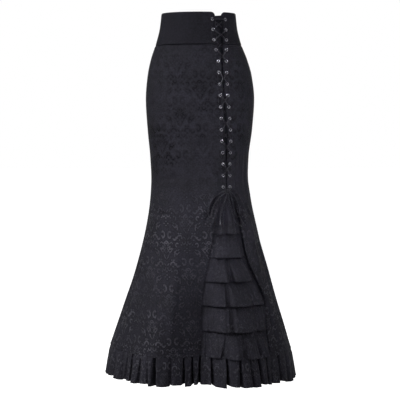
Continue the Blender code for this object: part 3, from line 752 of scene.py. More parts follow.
# The outline's colour and strength are painted shade round the raised figures
OUTLINE_SHADE_COLOUR = (0.001, 0.001, 0.0015)
OUTLINE_SHADE_STRENGTH = 0.6
FAINTEST = 0.45
LIE_REACH = (0.32, 0.62)
PATCHES_REACH = (0.36, 0.60)
WEAR_SHOWS = 0.30
FIBRES_SHOW = 0.10
SLUBS_SHOW = 0.42
CLOTH_BUMP = 0.8
CLOTH_ROUGHNESS = (0.68, 0.76)
FIGURE_SMOOTHER = -0.26
FIGURE_RELIEF = 0.00035
WARP_LEAN = 0.4
WARP_PITCH, WARP_RELIEF = 7400.0, 0.00006
WEFT_PITCH, WEFT_RELIEF = 9200.0, 0.00003
CLOTH_GLOSS = 0.20
CLOTH_GLOSS_TINT = (0.86, 0.85, 1.0)
DULL_GLOSS = 0.30
CLOTH_SHEEN = 0.004
CLOTH_SHEEN_ROUGHNESS = 0.45
CLOTH_SHEEN_TINT = (0.75, 0.76, 1.0)
# Heights over which the figures' painted shade on the hips turns into painted sheen on the flare
SHEEN_FROM = -0.40
SHEEN_FULL = -0.60
Weave = namedtuple("Weave", "name figures tone")
# A tone makes a lighter or darker copy of the one cloth. The tiers' and ruffle's tones above 1, and the
# underlay's above the waistband's, are painted light on pieces that lie in shade or get less lamp light.
DAMASK_CLOTH = Weave("damask_jacquard", 1.0, 1.0)
GATHERED_CLOTH = Weave("gathered_jacquard", 0.45, 1.15)
RUFFLED_CLOTH = Weave("ruffled_jacquard", 0.9, 1.2)
UNDERLAY_CLOTH = Weave("underlay_jacquard", 0.3, 0.9)
PLAIN_CLOTH = Weave("plain_jacquard", 0.3, 0.76)


def make_jacquard(weave, damask):
    """Black jacquard: its woven figures are smoother than its ground, and their colour is painted light set
    by height: painted shade on the hips, painted sheen on the flare.
    """
    made, graph, shader = new_material(weave.name)
    cloth = graph.node("ShaderNodeUVMap", uv_map="cloth").outputs[0]
    pattern = graph.node("ShaderNodeGroup", node_tree=damask)
    graph.put(cloth, pattern.inputs[0])
    place = graph.place()
    shown = graph.span(graph.noise(place, LIE), *LIE_REACH, FAINTEST * weave.figures, weave.figures)
    shown = graph.times(shown, graph.span(graph.noise(place, PATCHES), *PATCHES_REACH, FAINTEST, 1.0))
    figure = graph.times(pattern.outputs[0], shown)
    outline = graph.times(pattern.outputs[1], graph.times(shown, OUTLINE_SHADE_STRENGTH))
    # The figures' colour by height: painted shade on the hips, painted sheen on the flare, where lit is 1
    lit = graph.span(graph.split(place)[2], SHEEN_FULL, SHEEN_FROM, 1.0, 0.0)
    figure_colour = graph.colour_mix(lit, (*FIGURE_SHADE_UPPER, 1), (*FIGURE_SHEEN_FLARE, 1))
    ground = [part * weave.tone for part in GROUND]
    colour = graph.colour_mix(figure, (*ground, 1), figure_colour)
    # Painted shade: a dark outline round the figures
    colour = graph.colour_mix(outline, colour, (*OUTLINE_SHADE_COLOUR, 1))
    wear = graph.noise(place, WEAR)
    fibres = graph.vary(graph.noise(place, FIBRES), -FIBRES_SHOW, FIBRES_SHOW)
    slubs = graph.vary(graph.noise(place, SLUBS), -SLUBS_SHOW, SLUBS_SHOW)
    light = graph.plus(graph.plus(graph.vary(wear, 1 - WEAR_SHOWS, 1 + WEAR_SHOWS), fibres), slubs)
    colour = graph.colour_mix(1.0, colour, graph.join(light, light, light), "MULTIPLY")
    graph.put(colour, shader.inputs["Base Color"])
    rough = graph.plus(graph.times(figure, FIGURE_SMOOTHER), graph.vary(wear, *CLOTH_ROUGHNESS))
    graph.put(rough, shader.inputs["Roughness"])
    u, v, _ = graph.split(cloth)
    warp = graph.math("SINE", graph.times(graph.plus(u, graph.times(v, WARP_LEAN)), WARP_PITCH))
    weft = graph.math("SINE", graph.times(v, WEFT_PITCH))
    woven = graph.plus(graph.times(warp, WARP_RELIEF), graph.times(weft, WEFT_RELIEF))
    graph.bump(graph.plus(graph.times(figure, FIGURE_RELIEF), woven), CLOTH_BUMP, shader)
    dull = graph.times(figure, graph.minus(1.0, lit))
    full = CLOTH_GLOSS * weave.tone
    gloss = graph.span(dull, 0.0, 1.0, full, full * DULL_GLOSS, soft=False)
    graph.put(gloss, shader.inputs["Specular IOR Level"])
    shader.inputs["Specular Tint"].default_value = (*CLOTH_GLOSS_TINT, 1)
    shader.inputs["Sheen Weight"].default_value = CLOTH_SHEEN
    shader.inputs["Sheen Roughness"].default_value = CLOTH_SHEEN_ROUGHNESS
    shader.inputs["Sheen Tint"].default_value = (*CLOTH_SHEEN_TINT, 1)
    return made


THREAD_DARK = (0.010, 0.010, 0.013)
THREAD_LIGHT = (0.026, 0.025, 0.031)
THREAD_ROUGHNESS = (0.45, 0.60)
THREAD_RELIEF, THREAD_BUMP = 0.0001, 0.4
THREAD_GLOSS = 0.3


def make_thread():
    """Polyester sewing thread, twisted and slightly shiny."""
    made, graph, shader = new_material("thread")
    fuzz = graph.noise(graph.place(), FUZZ)
    colour = graph.colour_mix(fuzz, (*THREAD_DARK, 1), (*THREAD_LIGHT, 1))
    graph.put(colour, shader.inputs["Base Color"])
    graph.put(graph.vary(fuzz, *THREAD_ROUGHNESS), shader.inputs["Roughness"])
    graph.bump(graph.times(fuzz, THREAD_RELIEF), THREAD_BUMP, shader)
    shader.inputs["Specular IOR Level"].default_value = THREAD_GLOSS
    return made


# Nickel plate, clean and tarnished
Plate = namedtuple("Plate", "name clean tarnished")
EYELET_PLATE = Plate("eyelet_nickel", (0.30, 0.30, 0.33), (0.15, 0.15, 0.18))
# The aglets' plate is a darker copy of the same nickel: painted shade that dims the tips' reflections
AGLET_PLATE = Plate("aglet_nickel", (0.10, 0.10, 0.115), (0.05, 0.05, 0.06))
PLATE_ROUGHNESS = (0.22, 0.36)
TARNISH_REACH = (0.35, 0.7)


def make_metal(plate):
    """Nickel plate with a fine grain, duller where it has tarnished."""
    made, graph, shader = new_material(plate.name)
    grain = graph.noise(graph.place(), PLATE_GRAIN)
    graph.put(graph.vary(grain, *PLATE_ROUGHNESS), shader.inputs["Roughness"])
    tarnish = graph.span(grain, *TARNISH_REACH)
    colour = graph.colour_mix(tarnish, (*plate.clean, 1), (*plate.tarnished, 1))
    graph.put(colour, shader.inputs["Base Color"])
    shader.inputs["Metallic"].default_value = 1.0
    return made


SATIN_DARK = (0.004, 0.004, 0.006)
SATIN_LIGHT = (0.011, 0.011, 0.015)
SATIN_PAINTED_LUSTRE = (0.024, 0.024, 0.030)
SATIN_SLANT = 1.6
SATIN_PITCH, SATIN_RELIEF, SATIN_BUMP = 9000.0, 0.00004, 0.5
SATIN_ROUGHNESS = (0.42, 0.54)
LUSTRE_REACH = (0.52, 0.66)
SATIN_GLOSS = 0.30


def make_satin():
    """Satin cord: fine threads wound at a slant round it, with patches of painted lustre, lighter colour
    standing in for its highlights.
    """
    made, graph, shader = new_material("satin_cord")
    place = graph.place()
    x, y, z = graph.split(place)
    slant = graph.plus(graph.plus(x, y), graph.times(z, SATIN_SLANT))
    threads = graph.math("SINE", graph.times(slant, SATIN_PITCH))
    noise = graph.noise(place, WINDING)
    dark = graph.colour_mix(noise, (*SATIN_DARK, 1), (*SATIN_LIGHT, 1))
    # Painted highlights: patches where the colour lightens as if the satin caught the light
    lit = graph.span(graph.noise(place, LUSTRE), *LUSTRE_REACH)
    graph.put(graph.colour_mix(lit, dark, (*SATIN_PAINTED_LUSTRE, 1)), shader.inputs["Base Color"])
    graph.put(graph.vary(noise, *SATIN_ROUGHNESS), shader.inputs["Roughness"])
    graph.bump(graph.times(threads, SATIN_RELIEF), SATIN_BUMP, shader)
    shader.inputs["Specular IOR Level"].default_value = SATIN_GLOSS
    shader.inputs["Specular Tint"].default_value = (*CLOTH_GLOSS_TINT, 1)
    return made


# ---------------------------------------------------------------- cloth


def grid_shares(columns, rows):
    """The place across and down of each grid point, both from 0 to 1."""
    across, down = np.meshgrid(np.linspace(0, 1, columns + 1), np.linspace(0, 1, rows + 1))
    return across, down


def run_lengths(points, axis):
    """How far along the cloth each point is, along rows (axis 1) or down columns (axis 0)."""
    steps = np.linalg.norm(np.diff(points, axis=axis), axis=-1)
    start = np.zeros_like(np.take(steps, [0], axis=axis))
    return np.concatenate((start, np.cumsum(steps, axis=axis)), axis=axis)


def hung_uv(points):
    """Metres across and down the cloth."""
    return np.stack((run_lengths(points, 1), run_lengths(points, 0)), axis=-1)


def gathered_uv(points, start):
    """Metres along the free edge, where the gathers are open, and down the cloth."""
    wide = run_lengths(points, 1)
    return np.stack((np.broadcast_to(wide[-1], wide.shape), run_lengths(points, 0)), axis=-1) + start


# Rows of stitches, as they are found on the pieces: points on the cloth's face and the way out of it there
STITCHED = []
STITCH = 0.0030
STITCH_PITCH = 0.0042
FIRST_STITCH = 0.7
THREAD = 0.00045


def point_along(line, run, distance):
    """The point or points of a line this far along it."""
    return np.stack([np.interp(distance, run, line[:, axis]) for axis in range(3)], axis=-1)


def inset_line(points, edge, distance):
    """The line on a grid that keeps this distance from one of its edges, with the outward direction."""
    turned = points if edge in ("left", "right") else points.transpose(1, 0, 2)
    turned = turned[:, ::-1] if edge in ("right", "bottom") else turned
    lengths = run_lengths(turned, 1)
    line = np.array([point_along(row, run, distance) for row, run in zip(turned, lengths)])
    beyond = np.array([point_along(row, run, distance + STITCH) for row, run in zip(turned, lengths)])
    out = np.cross(np.gradient(line, axis=0), beyond - line)
    return line, unit(out) * (1 if edge in ("left", "bottom") else -1)


def make_stitches(thread):
    """A slim spindle of thread for each stitch, its ends sunk into the cloth."""
    places, faces = [], []
    for line, out in STITCHED:
        run = run_lengths(line[None], 1)[0]
        count = int(run[-1] / STITCH_PITCH) - 1
        places_on = (np.arange(count) + FIRST_STITCH) * STITCH_PITCH
        start, end = point_along(line, run, places_on), point_along(line, run, places_on + STITCH)
        up = unit(point_along(out, run, places_on + STITCH / 2))
        middle = (start + end) / 2
        aside = unit(np.cross(up, end - start)) * THREAD / 2
        body = [middle + up * THREAD, middle + aside, middle - up * THREAD / 2, middle - aside]
        for one in np.stack([start, *body, end], axis=1):
            first = len(places)
            places += [tuple(point) for point in one]
            for side in range(4):
                near, far = first + 1 + side, first + 1 + (side + 1) % 4
                faces += [(first, far, near), (near, far, first + 5)]
    mesh = bpy.data.meshes.new("stitches")
    mesh.from_pydata(places, [], faces)
    mesh.shade_smooth()
    mesh.materials.append(thread)
    stitches = link(bpy.data.objects.new("stitches", mesh))
    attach(stitches, "root")


def stand_for(piece, slot, *nodes):
    """A piece of the skirt's one body that shows these CAD nodes."""
    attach(piece, "root")
    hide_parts(*nodes)


def cloth_piece(node, points, cloth_uv, thickness, look, flat_points=None, stitched=()):
    """A shell through a grid of points, which stands for a CAD node."""
    name = f"{node}_cloth"
    index = np.arange(points.shape[0] * points.shape[1]).reshape(points.shape[:2])
    corners = np.stack((index[:-1, :-1], index[1:, :-1], index[1:, 1:], index[:-1, 1:]), axis=-1)
    corners = corners.reshape(-1, 4)
    mesh = bpy.data.meshes.new(name)
    mesh.vertices.add(index.size)
    mesh.vertices.foreach_set("co", points.astype(np.float32).ravel())
    mesh.loops.add(corners.size)
    mesh.loops.foreach_set("vertex_index", corners.astype(np.int32).ravel())
    mesh.polygons.add(len(corners))
    mesh.polygons.foreach_set("loop_start", np.arange(0, corners.size, 4, dtype=np.int32))
    mesh.update(calc_edges=True)
    layer = mesh.uv_layers.new(name="cloth")
    flat_uv = cloth_uv.reshape(-1, 2)[corners.ravel()]
    layer.data.foreach_set("uv", flat_uv.astype(np.float32).ravel())
    mesh.shade_smooth()
    mesh.materials.append(look)
    piece = link(bpy.data.objects.new(name, mesh))
    wall = piece.modifiers.new("Thickness", "SOLIDIFY")
    wall.thickness = thickness
    wall.offset = -1
    stand_for(piece, "jacquard", node)
    for edge, distance in stitched:
        STITCHED.append(inset_line(points, edge, distance))
    cut = points if flat_points is None else flat_points
    width = float(run_lengths(cut, 1)[:, -1].max())
    length = float(run_lengths(cut, 0)[-1].max())


def edge_lines(kind, radius):
    """Grid lines along an edge, outermost first: how far in from it and how far below the face each is."""
    found = []
    if kind == "felled":
        found += [(-LAP, radius + ALLOWANCE + LAP_DROP)]
    if kind in ("seam", "felled"):
        found += [(0.0, radius + ALLOWANCE), (0.0, radius + ALLOWANCE / 2)]
    if kind == "cut":
        found += [(0.0, 0.0)]
    else:
        for turn in EDGE_TURNS:
            angle = math.radians(turn)
            found.append((radius * (1 - math.cos(angle)), radius * (1 - math.sin(angle))))
    return found + [(radius + inset, 0.0) for inset in EDGE_INSETS]


def grid_lines(count, first, last, radius):
    """Lines from edge to edge, as three arrays: share of the way, distance in, depth below the face."""
    start, end = edge_lines(first, radius), edge_lines(last, radius)
    lines = [(0.0, inset, sink) for inset, sink in start]
    for place in range(1, count):
        share = place / count
        lines.append((share, mix(start[-1][0], -end[-1][0], share), 0.0))
    lines += [(1.0, -inset, sink) for inset, sink in reversed(end)]
    return np.array(lines).T


CREASE_SHARPNESS = 1.35
CREASE_ROLL = 0.5
CREASE_OVERRUN = 0.12
CREASE_FADE = 0.4
Crease = namedtuple("Crease", "angle height to_angle to_height depth width")
CREASES = (
    # pulls at the left side of the hips and thigh
    Crease(-80, -0.150, -50, -0.160, -0.0012, 0.012),
    Crease(-82, -0.232, -52, -0.226, -0.0016, 0.012),
    Crease(-86, -0.298, -40, -0.307, -0.0022, 0.008),
    Crease(-86, -0.318, -45, -0.327, -0.0018, 0.008),
    Crease(-84, -0.376, -58, -0.368, -0.0016, 0.011),
    Crease(-30, -0.345, 8, -0.352, -0.0012, 0.012),
    Crease(-62, -0.452, -18, -0.440, -0.0014, 0.012),
    # below the knee: slanting creases from the side seam
    Crease(-80, -0.533, -40, -0.554, -0.0036, 0.008),
    Crease(-80, -0.556, -48, -0.574, 0.0024, 0.009),
    Crease(-76, -0.646, -44, -0.666, -0.0032, 0.008),
    Crease(-66, -0.695, -65, -0.742, -0.0030, 0.006),
    # drapes that fall from the knee into the flare
    Crease(-78, -0.640, -77, -0.950, -0.0030, 0.012),
    Crease(-63, -0.680, -60, -0.950, 0.0030, 0.012),
    Crease(-41, -0.700, -40, -0.950, 0.0034, 0.013),
    Crease(-33, -0.720, -31, -0.950, -0.0028, 0.010),
    Crease(-22, -0.660, -19, -0.950, 0.0036, 0.014),
    # folds that run to the top of the slit
    Crease(24, -0.484, 10, -0.590, 0.0062, 0.0046),
    Crease(21, -0.486, 2, -0.580, -0.0050, 0.0070),
    Crease(15, -0.500, -6, -0.570, 0.0024, 0.0080),
    Crease(34, -0.484, 47, -0.585, 0.0065, 0.0055),
    Crease(38, -0.484, 53, -0.580, -0.0055, 0.0060),
    Crease(43, -0.482, 57, -0.545, 0.0050, 0.0060),
    Crease(52, -0.486, 66, -0.560, -0.0035, 0.0070),
    # upright ridges beside the lower lacing
    Crease(48, -0.372, 46, -0.502, 0.0012, 0.004),
    Crease(53, -0.360, 52, -0.500, -0.0010, 0.004),
    Crease(61, -0.370, 57, -0.500, 0.0014, 0.004),
    Crease(66, -0.376, 64, -0.505, -0.0010, 0.004),
    Crease(72, -0.380, 70, -0.520, 0.0011, 0.004),
    # the side front below the knee
    Crease(62, -0.560, 60, -0.740, 0.0040, 0.012),
    Crease(76, -0.600, 74, -0.950, -0.0034, 0.012),
    Crease(60, -0.760, 61, -0.950, -0.0034, 0.010),
    Crease(84, -0.640, 84, -0.950, 0.0030, 0.012),
    # back: pulls under the seat and drapes of the train
    Crease(108, -0.250, 170, -0.270, -0.0020, 0.013),
    Crease(-104, -0.262, -168, -0.286, -0.0022, 0.013),
    Crease(112, -0.300, 160, -0.330, 0.0018, 0.014),
    Crease(-110, -0.318, -158, -0.345, 0.0016, 0.014),
    Crease(98, -0.420, 140, -0.450, -0.0026, 0.010),
    Crease(-97, -0.410, -142, -0.446, -0.0026, 0.010),
    Crease(100, -0.500, 128, -0.535, -0.0026, 0.011),
    Crease(-99, -0.520, -130, -0.548, 0.0026, 0.011),
    Crease(104, -0.560, 106, -0.950, -0.0034, 0.014),
    Crease(124, -0.600, 125, -0.950, 0.0040, 0.016),
    Crease(146, -0.580, 147, -0.950, -0.0036, 0.016),
    Crease(169, -0.620, 169, -0.950, 0.0036, 0.014),
    Crease(-170, -0.640, -169, -0.950, 0.0034, 0.014),
    Crease(-145, -0.590, -145, -0.950, -0.0036, 0.016),
    Crease(-122, -0.610, -122, -0.950, 0.0040, 0.016),
    Crease(-100, -0.570, -101, -0.950, -0.0034, 0.014),
)


def creasing(angle, height):
    """How far the smaller creases move the cloth out, each with a weaker roll of the other way beside it."""
    total = 0.0
    for crease in CREASES:
        start, end = math.radians(crease.angle), math.radians(crease.to_angle)
        middle_angle, middle = (start + end) / 2, (crease.height + crease.to_height) / 2
        rate = float(girth_rate(middle_angle, middle))
        along = np.array(((end - start) * rate, crease.to_height - crease.height))
        length = float(np.hypot(*along))
        along = along / length
        turned = (angle - start + np.pi) % (2 * np.pi) - np.pi
        across_place, down_place = turned * rate, height - crease.height
        forward = (across_place * along[0] + down_place * along[1]) / length
        aside = (across_place * along[1] - down_place * along[0]) / crease.width
        before = (forward + CREASE_OVERRUN) / CREASE_FADE
        after = (1 + CREASE_OVERRUN - forward) / CREASE_FADE
        shape = np.exp(-aside * aside) * (1 - CREASE_ROLL * aside * aside)
        total = total + crease.depth * smooth(before) * smooth(after) * shape
    return total * CREASE_SHARPNESS


# A piece between seams: its edges as functions of height or angle, its grid and how each edge is finished
Panel = namedtuple("Panel", "node left right top bottom columns left_edge stitched")
Make = namedtuple("Make", "rows gap thickness top_edge bottom_edge")
BAND_MAKE = Make(30, BAND_SEAM_GAP, BAND_CLOTH, "seam", "seam")
BODY_MAKE = Make(210, SEAM_GAP, CLOTH, "felled", "folded")


def panel_grid(panel, make, folds):
    """A panel's grid between two edges and two ends, with its edges turned in, and the grid on the form."""
    radius = make.thickness * EDGE_RADIUS
    share_x, inset_x, sink_x = grid_lines(panel.columns, panel.left_edge, "seam", radius)
    share_y, inset_y, sink_y = grid_lines(make.rows, make.top_edge, make.bottom_edge, radius)
    across, down = np.meshgrid(share_x, share_y)
    inset_x, inset_y = np.meshgrid(inset_x, inset_y)
    sink = np.hypot(*np.meshgrid(sink_x, sink_y))
    height = mix(panel.top(0.0), panel.bottom(0.0), down) - inset_y
    for _ in range(FIT_ROUNDS):
        left, right = panel.left(height), panel.right(height)
        rate = girth_rate(mix(left, right, across), height)
        half_gap = make.gap / 2 / rate
        angle = mix(left + half_gap, right - half_gap, across) + inset_x / rate
        low, high = panel.bottom(angle) + SEAM_GAP / 2, panel.top(angle) - SEAM_GAP / 2
        height = mix(high, low, down) - inset_y
    for distance in ((angle - left) * rate, (right - angle) * rate, high - height, height - low):
        sink = sink + SEAM_SINK * (1 - smooth(distance / SEAM_ROLL))
    return skin(angle, height, folds(angle, height) - sink), skin(angle, height), angle, height


# The damask's grain line on the front and where its scrolls lie
GRAIN_TOP_X = -0.003
GRAIN_TOP = -0.140
GRAIN_LEAN = 0.060
GRAIN_ANGLE = -30
GRAIN_LEVELS = np.linspace(0.06, -1.1, 1161)

# The back panels' grain lines, and how far their figures are moved, so that none meet at a seam
Lay = namedtuple("Lay", "grain_angle across down")
BACK_LAYS = {
    "back_panel_right": Lay(135, 0.021, 0.058),
    "back_panel_left": Lay(-135, 0.017, 0.103),
}


def body_uv(plain, angle, height, lay=None):
    """Metres across from the grain line and down from the first scrolls."""
    across = run_lengths(plain, 1)
    uv = np.zeros((*angle.shape, 2))
    for row in range(angle.shape[0]):
        level = height[row]
        if lay is None:
            middle = angle_of_x(GRAIN_TOP_X + GRAIN_LEAN * (GRAIN_TOP - level.mean()), level.mean())
        else:
            middle = math.radians(lay.grain_angle)
        inside = float(np.interp(middle, angle[row], across[row]))
        if middle < angle[row, 0]:
            inside -= (angle[row, 0] - middle) * float(girth_rate(middle, level[0]))
        if middle > angle[row, -1]:
            inside += (middle - angle[row, -1]) * float(girth_rate(middle, level[-1]))
        uv[row, :, 0] = across[row] - inside
    uv[..., 1] = cloth_depth(height)
    return uv if lay is None else uv + (lay.across, lay.down)


def cloth_depth(height):
    """How far down the cloth a height is, from the first pair of scrolls, along the front of the form."""
    line = form_point(np.full_like(GRAIN_LEVELS, math.radians(GRAIN_ANGLE)), GRAIN_LEVELS)
    depth = run_lengths(line[:, None, :], 0)[:, 0]
    depth = depth - np.interp(-GRAIN_TOP, -GRAIN_LEVELS, depth)
    return np.interp(-height, -GRAIN_LEVELS, depth)


def fixed(degrees):
    return lambda height: np.full_like(height, math.radians(degrees))


def level(height):
    return lambda angle: np.full_like(np.asarray(angle, float), height)


def opening_left(height):
    return opening_edge(-1, height)


def opening_right(height):
    return opening_edge(1, height)


def band_top(side):
    """The waistband's top edge, rounded down to the opening on that side."""

    def top(angle):
        edge = opening_edge(side, BAND_TOP)
        away = side * (angle - edge) * girth_rate(edge, BAND_TOP)
        away = np.clip(away, 0.0, BAND_CORNER)
        return BAND_TOP - BAND_CORNER + np.sqrt(BAND_CORNER**2 - (BAND_CORNER - away) ** 2)

    return top


BAND_WAVE = 0.0004
BAND_WAVES_ROUND = 9.0
BAND_WAVE_SLANT = 60.0
BAND_SWELLS_ROUND = 5.3


def band_waves(angle, height):
    """Faint waves where the band is stretched round the waist."""
    waves = np.sin(BAND_WAVES_ROUND * angle + BAND_WAVE_SLANT * height)
    return BAND_WAVE * waves * np.sin(BAND_SWELLS_ROUND * angle + 1.0)


# Rows of stitches: how far in from the edge
OPENING_STITCHES = (0.0038, 0.0205)
BAND_STITCHES = 0.0085


def stitches_beside(edge):
    return tuple((edge, inset) for inset in OPENING_STITCHES)


def make_waistband(look):
    side_left, side_right, back_end = fixed(-SIDE_SEAM), fixed(SIDE_SEAM), fixed(360 - SIDE_SEAM)
    seam, top = level(BAND_SEAM), level(BAND_TOP)
    before, after = stitches_beside("right"), stitches_beside("left")
    strips = (
        Panel("waistband_front", side_left, opening_left, band_top(-1), seam, 78, "felled", before),
        Panel("waistband_side_front", opening_right, side_right, band_top(1), seam, 34, "seam", after),
        Panel("waistband_back", side_right, back_end, top, seam, 110, "felled", ()),
    )
    for strip in strips:
        folded, plain, angle, height = panel_grid(strip, BAND_MAKE, band_waves)
        uv = body_uv(plain, angle, height)
        rows = (("bottom", BAND_STITCHES), ("top", BAND_STITCHES), *strip.stitched)
        cloth_piece(strip.node, folded, uv, BAND_CLOTH, look, plain, rows)


def make_body(look):
    side_left, side_right = fixed(-SIDE_SEAM), fixed(SIDE_SEAM)
    back_from_right, back_from_left = fixed(CENTRE_BACK), fixed(-CENTRE_BACK)
    seam = level(BAND_SEAM)
    before, after = stitches_beside("right"), stitches_beside("left")
    panels = (
        Panel("front_panel", side_left, opening_left, seam, hem_height, 150, "felled", before),
        Panel("side_front_panel", opening_right, side_right, seam, hem_height, 76, "seam", after),
        Panel("back_panel_right", side_right, back_from_right, seam, hem_height, 100, "felled", ()),
        Panel("back_panel_left", back_from_left, side_left, seam, hem_height, 100, "felled", ()),
    )
    for panel in panels:
        folded, plain, angle, height = panel_grid(panel, BODY_MAKE, creasing)
        uv = body_uv(plain, angle, height, BACK_LAYS.get(panel.node))
        cloth_piece(panel.node, folded, uv, CLOTH, look, plain, panel.stitched)


def make_underlay(look):
    """The strip behind the lacing: it hangs clear of the cord and rises to the panels at its sides."""
    across, down = grid_shares(*UNDERLAY_GRID)
    height = mix(UNDERLAY_TOP, SLIT_TOP + UNDERLAY_ABOVE_SLIT, down)
    left, right = opening_edge(-1, height), opening_edge(1, height)
    rate = girth_rate(left, height)
    reach = (right - left) * rate / 2 + EYELET_INSET + UNDERLAY_PAST_EYELET
    aside = 2 * across - 1
    at_panel = BAND_CLOTH + LAYER_GAP
    rise = smooth((np.abs(aside) - UNDERLAY_RISE_FROM) / (1 - UNDERLAY_RISE_FROM))
    depth = mix(UNDERLAY_DEPTH, at_panel, rise)
    points = skin((left + right) / 2 + aside * reach / rate, height, -depth)
    cloth_piece("lacing_underlay", points, hung_uv(points), CLOTH, look)


def base_depth(angle, height):
    """How far behind the panels the godet's base hangs. Its sides come forward, the right one lower down."""
    left, right = slit_span(height)
    rate = girth_rate(left, height)
    forward = 0.0
    for into, start in ((angle - left, LEFT_FORWARD_FROM), (right - angle, RIGHT_FORWARD_FROM)):
        lower = smooth((start - height) / BASE_FORWARD_OVER)
        forward = forward + lower * (1 - smooth(into * rate / BASE_DEEPENS))
    return mix(BASE_DEPTH, BASE_DEPTH_SIDE, forward)


def make_godet_base(look):
    """Flat behind the flounces, with a flap at each side that rises to the panel it is sewn to."""
    across, down = grid_shares(BASE_COLUMNS, BASE_ROWS)
    height = mix(SLIT_TOP, hem_height(math.radians(GODET_ANGLE)) + GODET_HEM_GAP, down)
    left, right = slit_span(height)
    rate = girth_rate((left + right) / 2, height)
    column = across * BASE_COLUMNS
    past_left, past_right = FLAP_COLUMNS - column, column - BASE_COLUMNS + FLAP_COLUMNS
    flap = (np.maximum(0, past_right) - np.maximum(0, past_left)) / FLAP_COLUMNS
    behind = np.clip(-past_left / (BASE_COLUMNS - 2 * FLAP_COLUMNS), 0, 1)
    angle = mix(left - BASE_TUCK / rate, right + BASE_TUCK / rate, behind)
    angle = angle + flap * BASE_FLAP / rate
    height = mix(SLIT_TOP, hem_height(angle) + GODET_HEM_GAP, down)
    points = skin(angle, height, -mix(base_depth(angle, height), CLOTH + LAYER_GAP, np.abs(flap)))
    cloth_piece("godet_base", points, hung_uv(points), CLOTH, look)


# Folds of the flounces: place across from 0 to 1, half width across, movement at the lower edge and lean
TierFold = namedtuple("TierFold", "tier across half_width depth lean")
TIER_FOLDS = (
    TierFold(1, 0.24, 0.14, 0.0035, 0.00),
    TierFold(1, 0.40, 0.09, -0.0109, 0.00),
    TierFold(1, 0.60, 0.12, 0.0045, 0.00),
    TierFold(1, 0.78, 0.09, -0.0087, 0.00),
    TierFold(2, 0.16, 0.08, -0.0080, 0.02),
    TierFold(2, 0.32, 0.10, 0.0030, 0.00),
    TierFold(2, 0.50, 0.20, 0.0030, 0.00),
    TierFold(2, 0.84, 0.08, -0.0080, -0.02),
    TierFold(3, 0.18, 0.08, -0.0094, 0.00),
    TierFold(3, 0.33, 0.09, 0.0060, 0.01),
    TierFold(3, 0.45, 0.06, -0.0217, 0.01),
    TierFold(3, 0.62, 0.14, 0.0045, 0.00),
    TierFold(3, 0.86, 0.08, -0.0094, -0.02),
    TierFold(4, 0.12, 0.06, -0.0087, 0.00),
    TierFold(4, 0.24, 0.07, 0.0060, 0.03),
    TierFold(4, 0.36, 0.055, -0.0203, 0.02),
    TierFold(4, 0.54, 0.14, 0.0050, 0.00),
    TierFold(4, 0.70, 0.06, -0.0094, 0.00),
    TierFold(4, 0.82, 0.07, 0.0030, 0.00),
    TierFold(5, 0.15, 0.06, -0.0094, 0.00),
    TierFold(5, 0.29, 0.08, 0.0070, 0.00),
    TierFold(5, 0.40, 0.045, -0.0247, 0.00),
    TierFold(5, 0.56, 0.13, 0.0055, 0.00),
    TierFold(5, 0.75, 0.06, -0.0101, 0.00),
    TierFold(5, 0.86, 0.06, 0.0040, 0.00),
    TierFold(6, 0.11, 0.05, -0.0109, 0.02),
    TierFold(6, 0.20, 0.06, 0.0060, 0.03),
    TierFold(6, 0.31, 0.045, -0.0174, 0.05),
    TierFold(6, 0.42, 0.07, 0.0060, 0.05),
    TierFold(6, 0.53, 0.045, -0.0159, 0.04),
    TierFold(6, 0.65, 0.08, 0.0050, 0.00),
    TierFold(6, 0.77, 0.045, -0.0159, -0.03),
    TierFold(6, 0.88, 0.06, 0.0040, -0.03),
)


def tier_points(number, tier, top):
    """A flounce: sewn down under the one above, then free, with gathers that open into folds."""
    across, down = grid_shares(30 + 5 * tier.gathers, TIER_ROWS)
    covered = TIER_OVERLAP / (top - tier.bottom)
    share = TIER_COVERED_ROWS / TIER_ROWS
    free = np.maximum(0.0, (down - share) / (1 - share))
    down = covered * np.minimum(1.0, down / share) + (1 - covered) * free
    height = mix(top, tier.bottom, down)
    left, right = slit_span(height)
    rate = girth_rate((left + right) / 2, height)
    angle = mix(left - TIER_TUCK / rate, right + TIER_TUCK / rate, across)
    if number == len(TIERS):
        height = mix(top, hem_height(angle) + GODET_HEM_GAP, down)
    open_share = smooth(np.minimum(angle - left, right - angle) * rate / TIER_LIFT_WIDTH)
    lift = mix(TIER_LIFT_AT_EDGE, tier.lift, open_share)
    for fold in TIER_FOLDS:
        if fold.tier == number:
            away = np.abs(across - fold.across - fold.lean * (1 - free)) / fold.half_width
            lift = lift + fold.depth * open_share * (1 - smooth(away))
    lift = np.maximum(lift, TIER_LIFT_AT_EDGE) * free**TIER_SWELL
    wave = 2 * np.pi * (tier.gathers * across + TIER_UNEVEN * np.sin(7.0 * across + number))
    pucker = TIER_PUCKER * np.sin(wave) * free**0.5 * np.exp(-free * TIER_PUCKER_FADE) * open_share
    at_base = base_depth(angle, height) - TIER_GAP - CLOTH
    return skin(angle, height, lift + pucker - at_base)


def make_tiers(look):
    top = SLIT_TOP - TIER_BELOW_SLIT_TOP
    for number, tier in enumerate(TIERS, start=1):
        points = tier_points(number, tier, top)
        uv = gathered_uv(points, np.array(TIER_PATTERN_STEP) * number)
        rows = [("bottom", TIER_HEM)]
        cloth_piece(f"tier_{number}", points, uv, CLOTH, look, stitched=rows)
        top = tier.bottom + TIER_OVERLAP


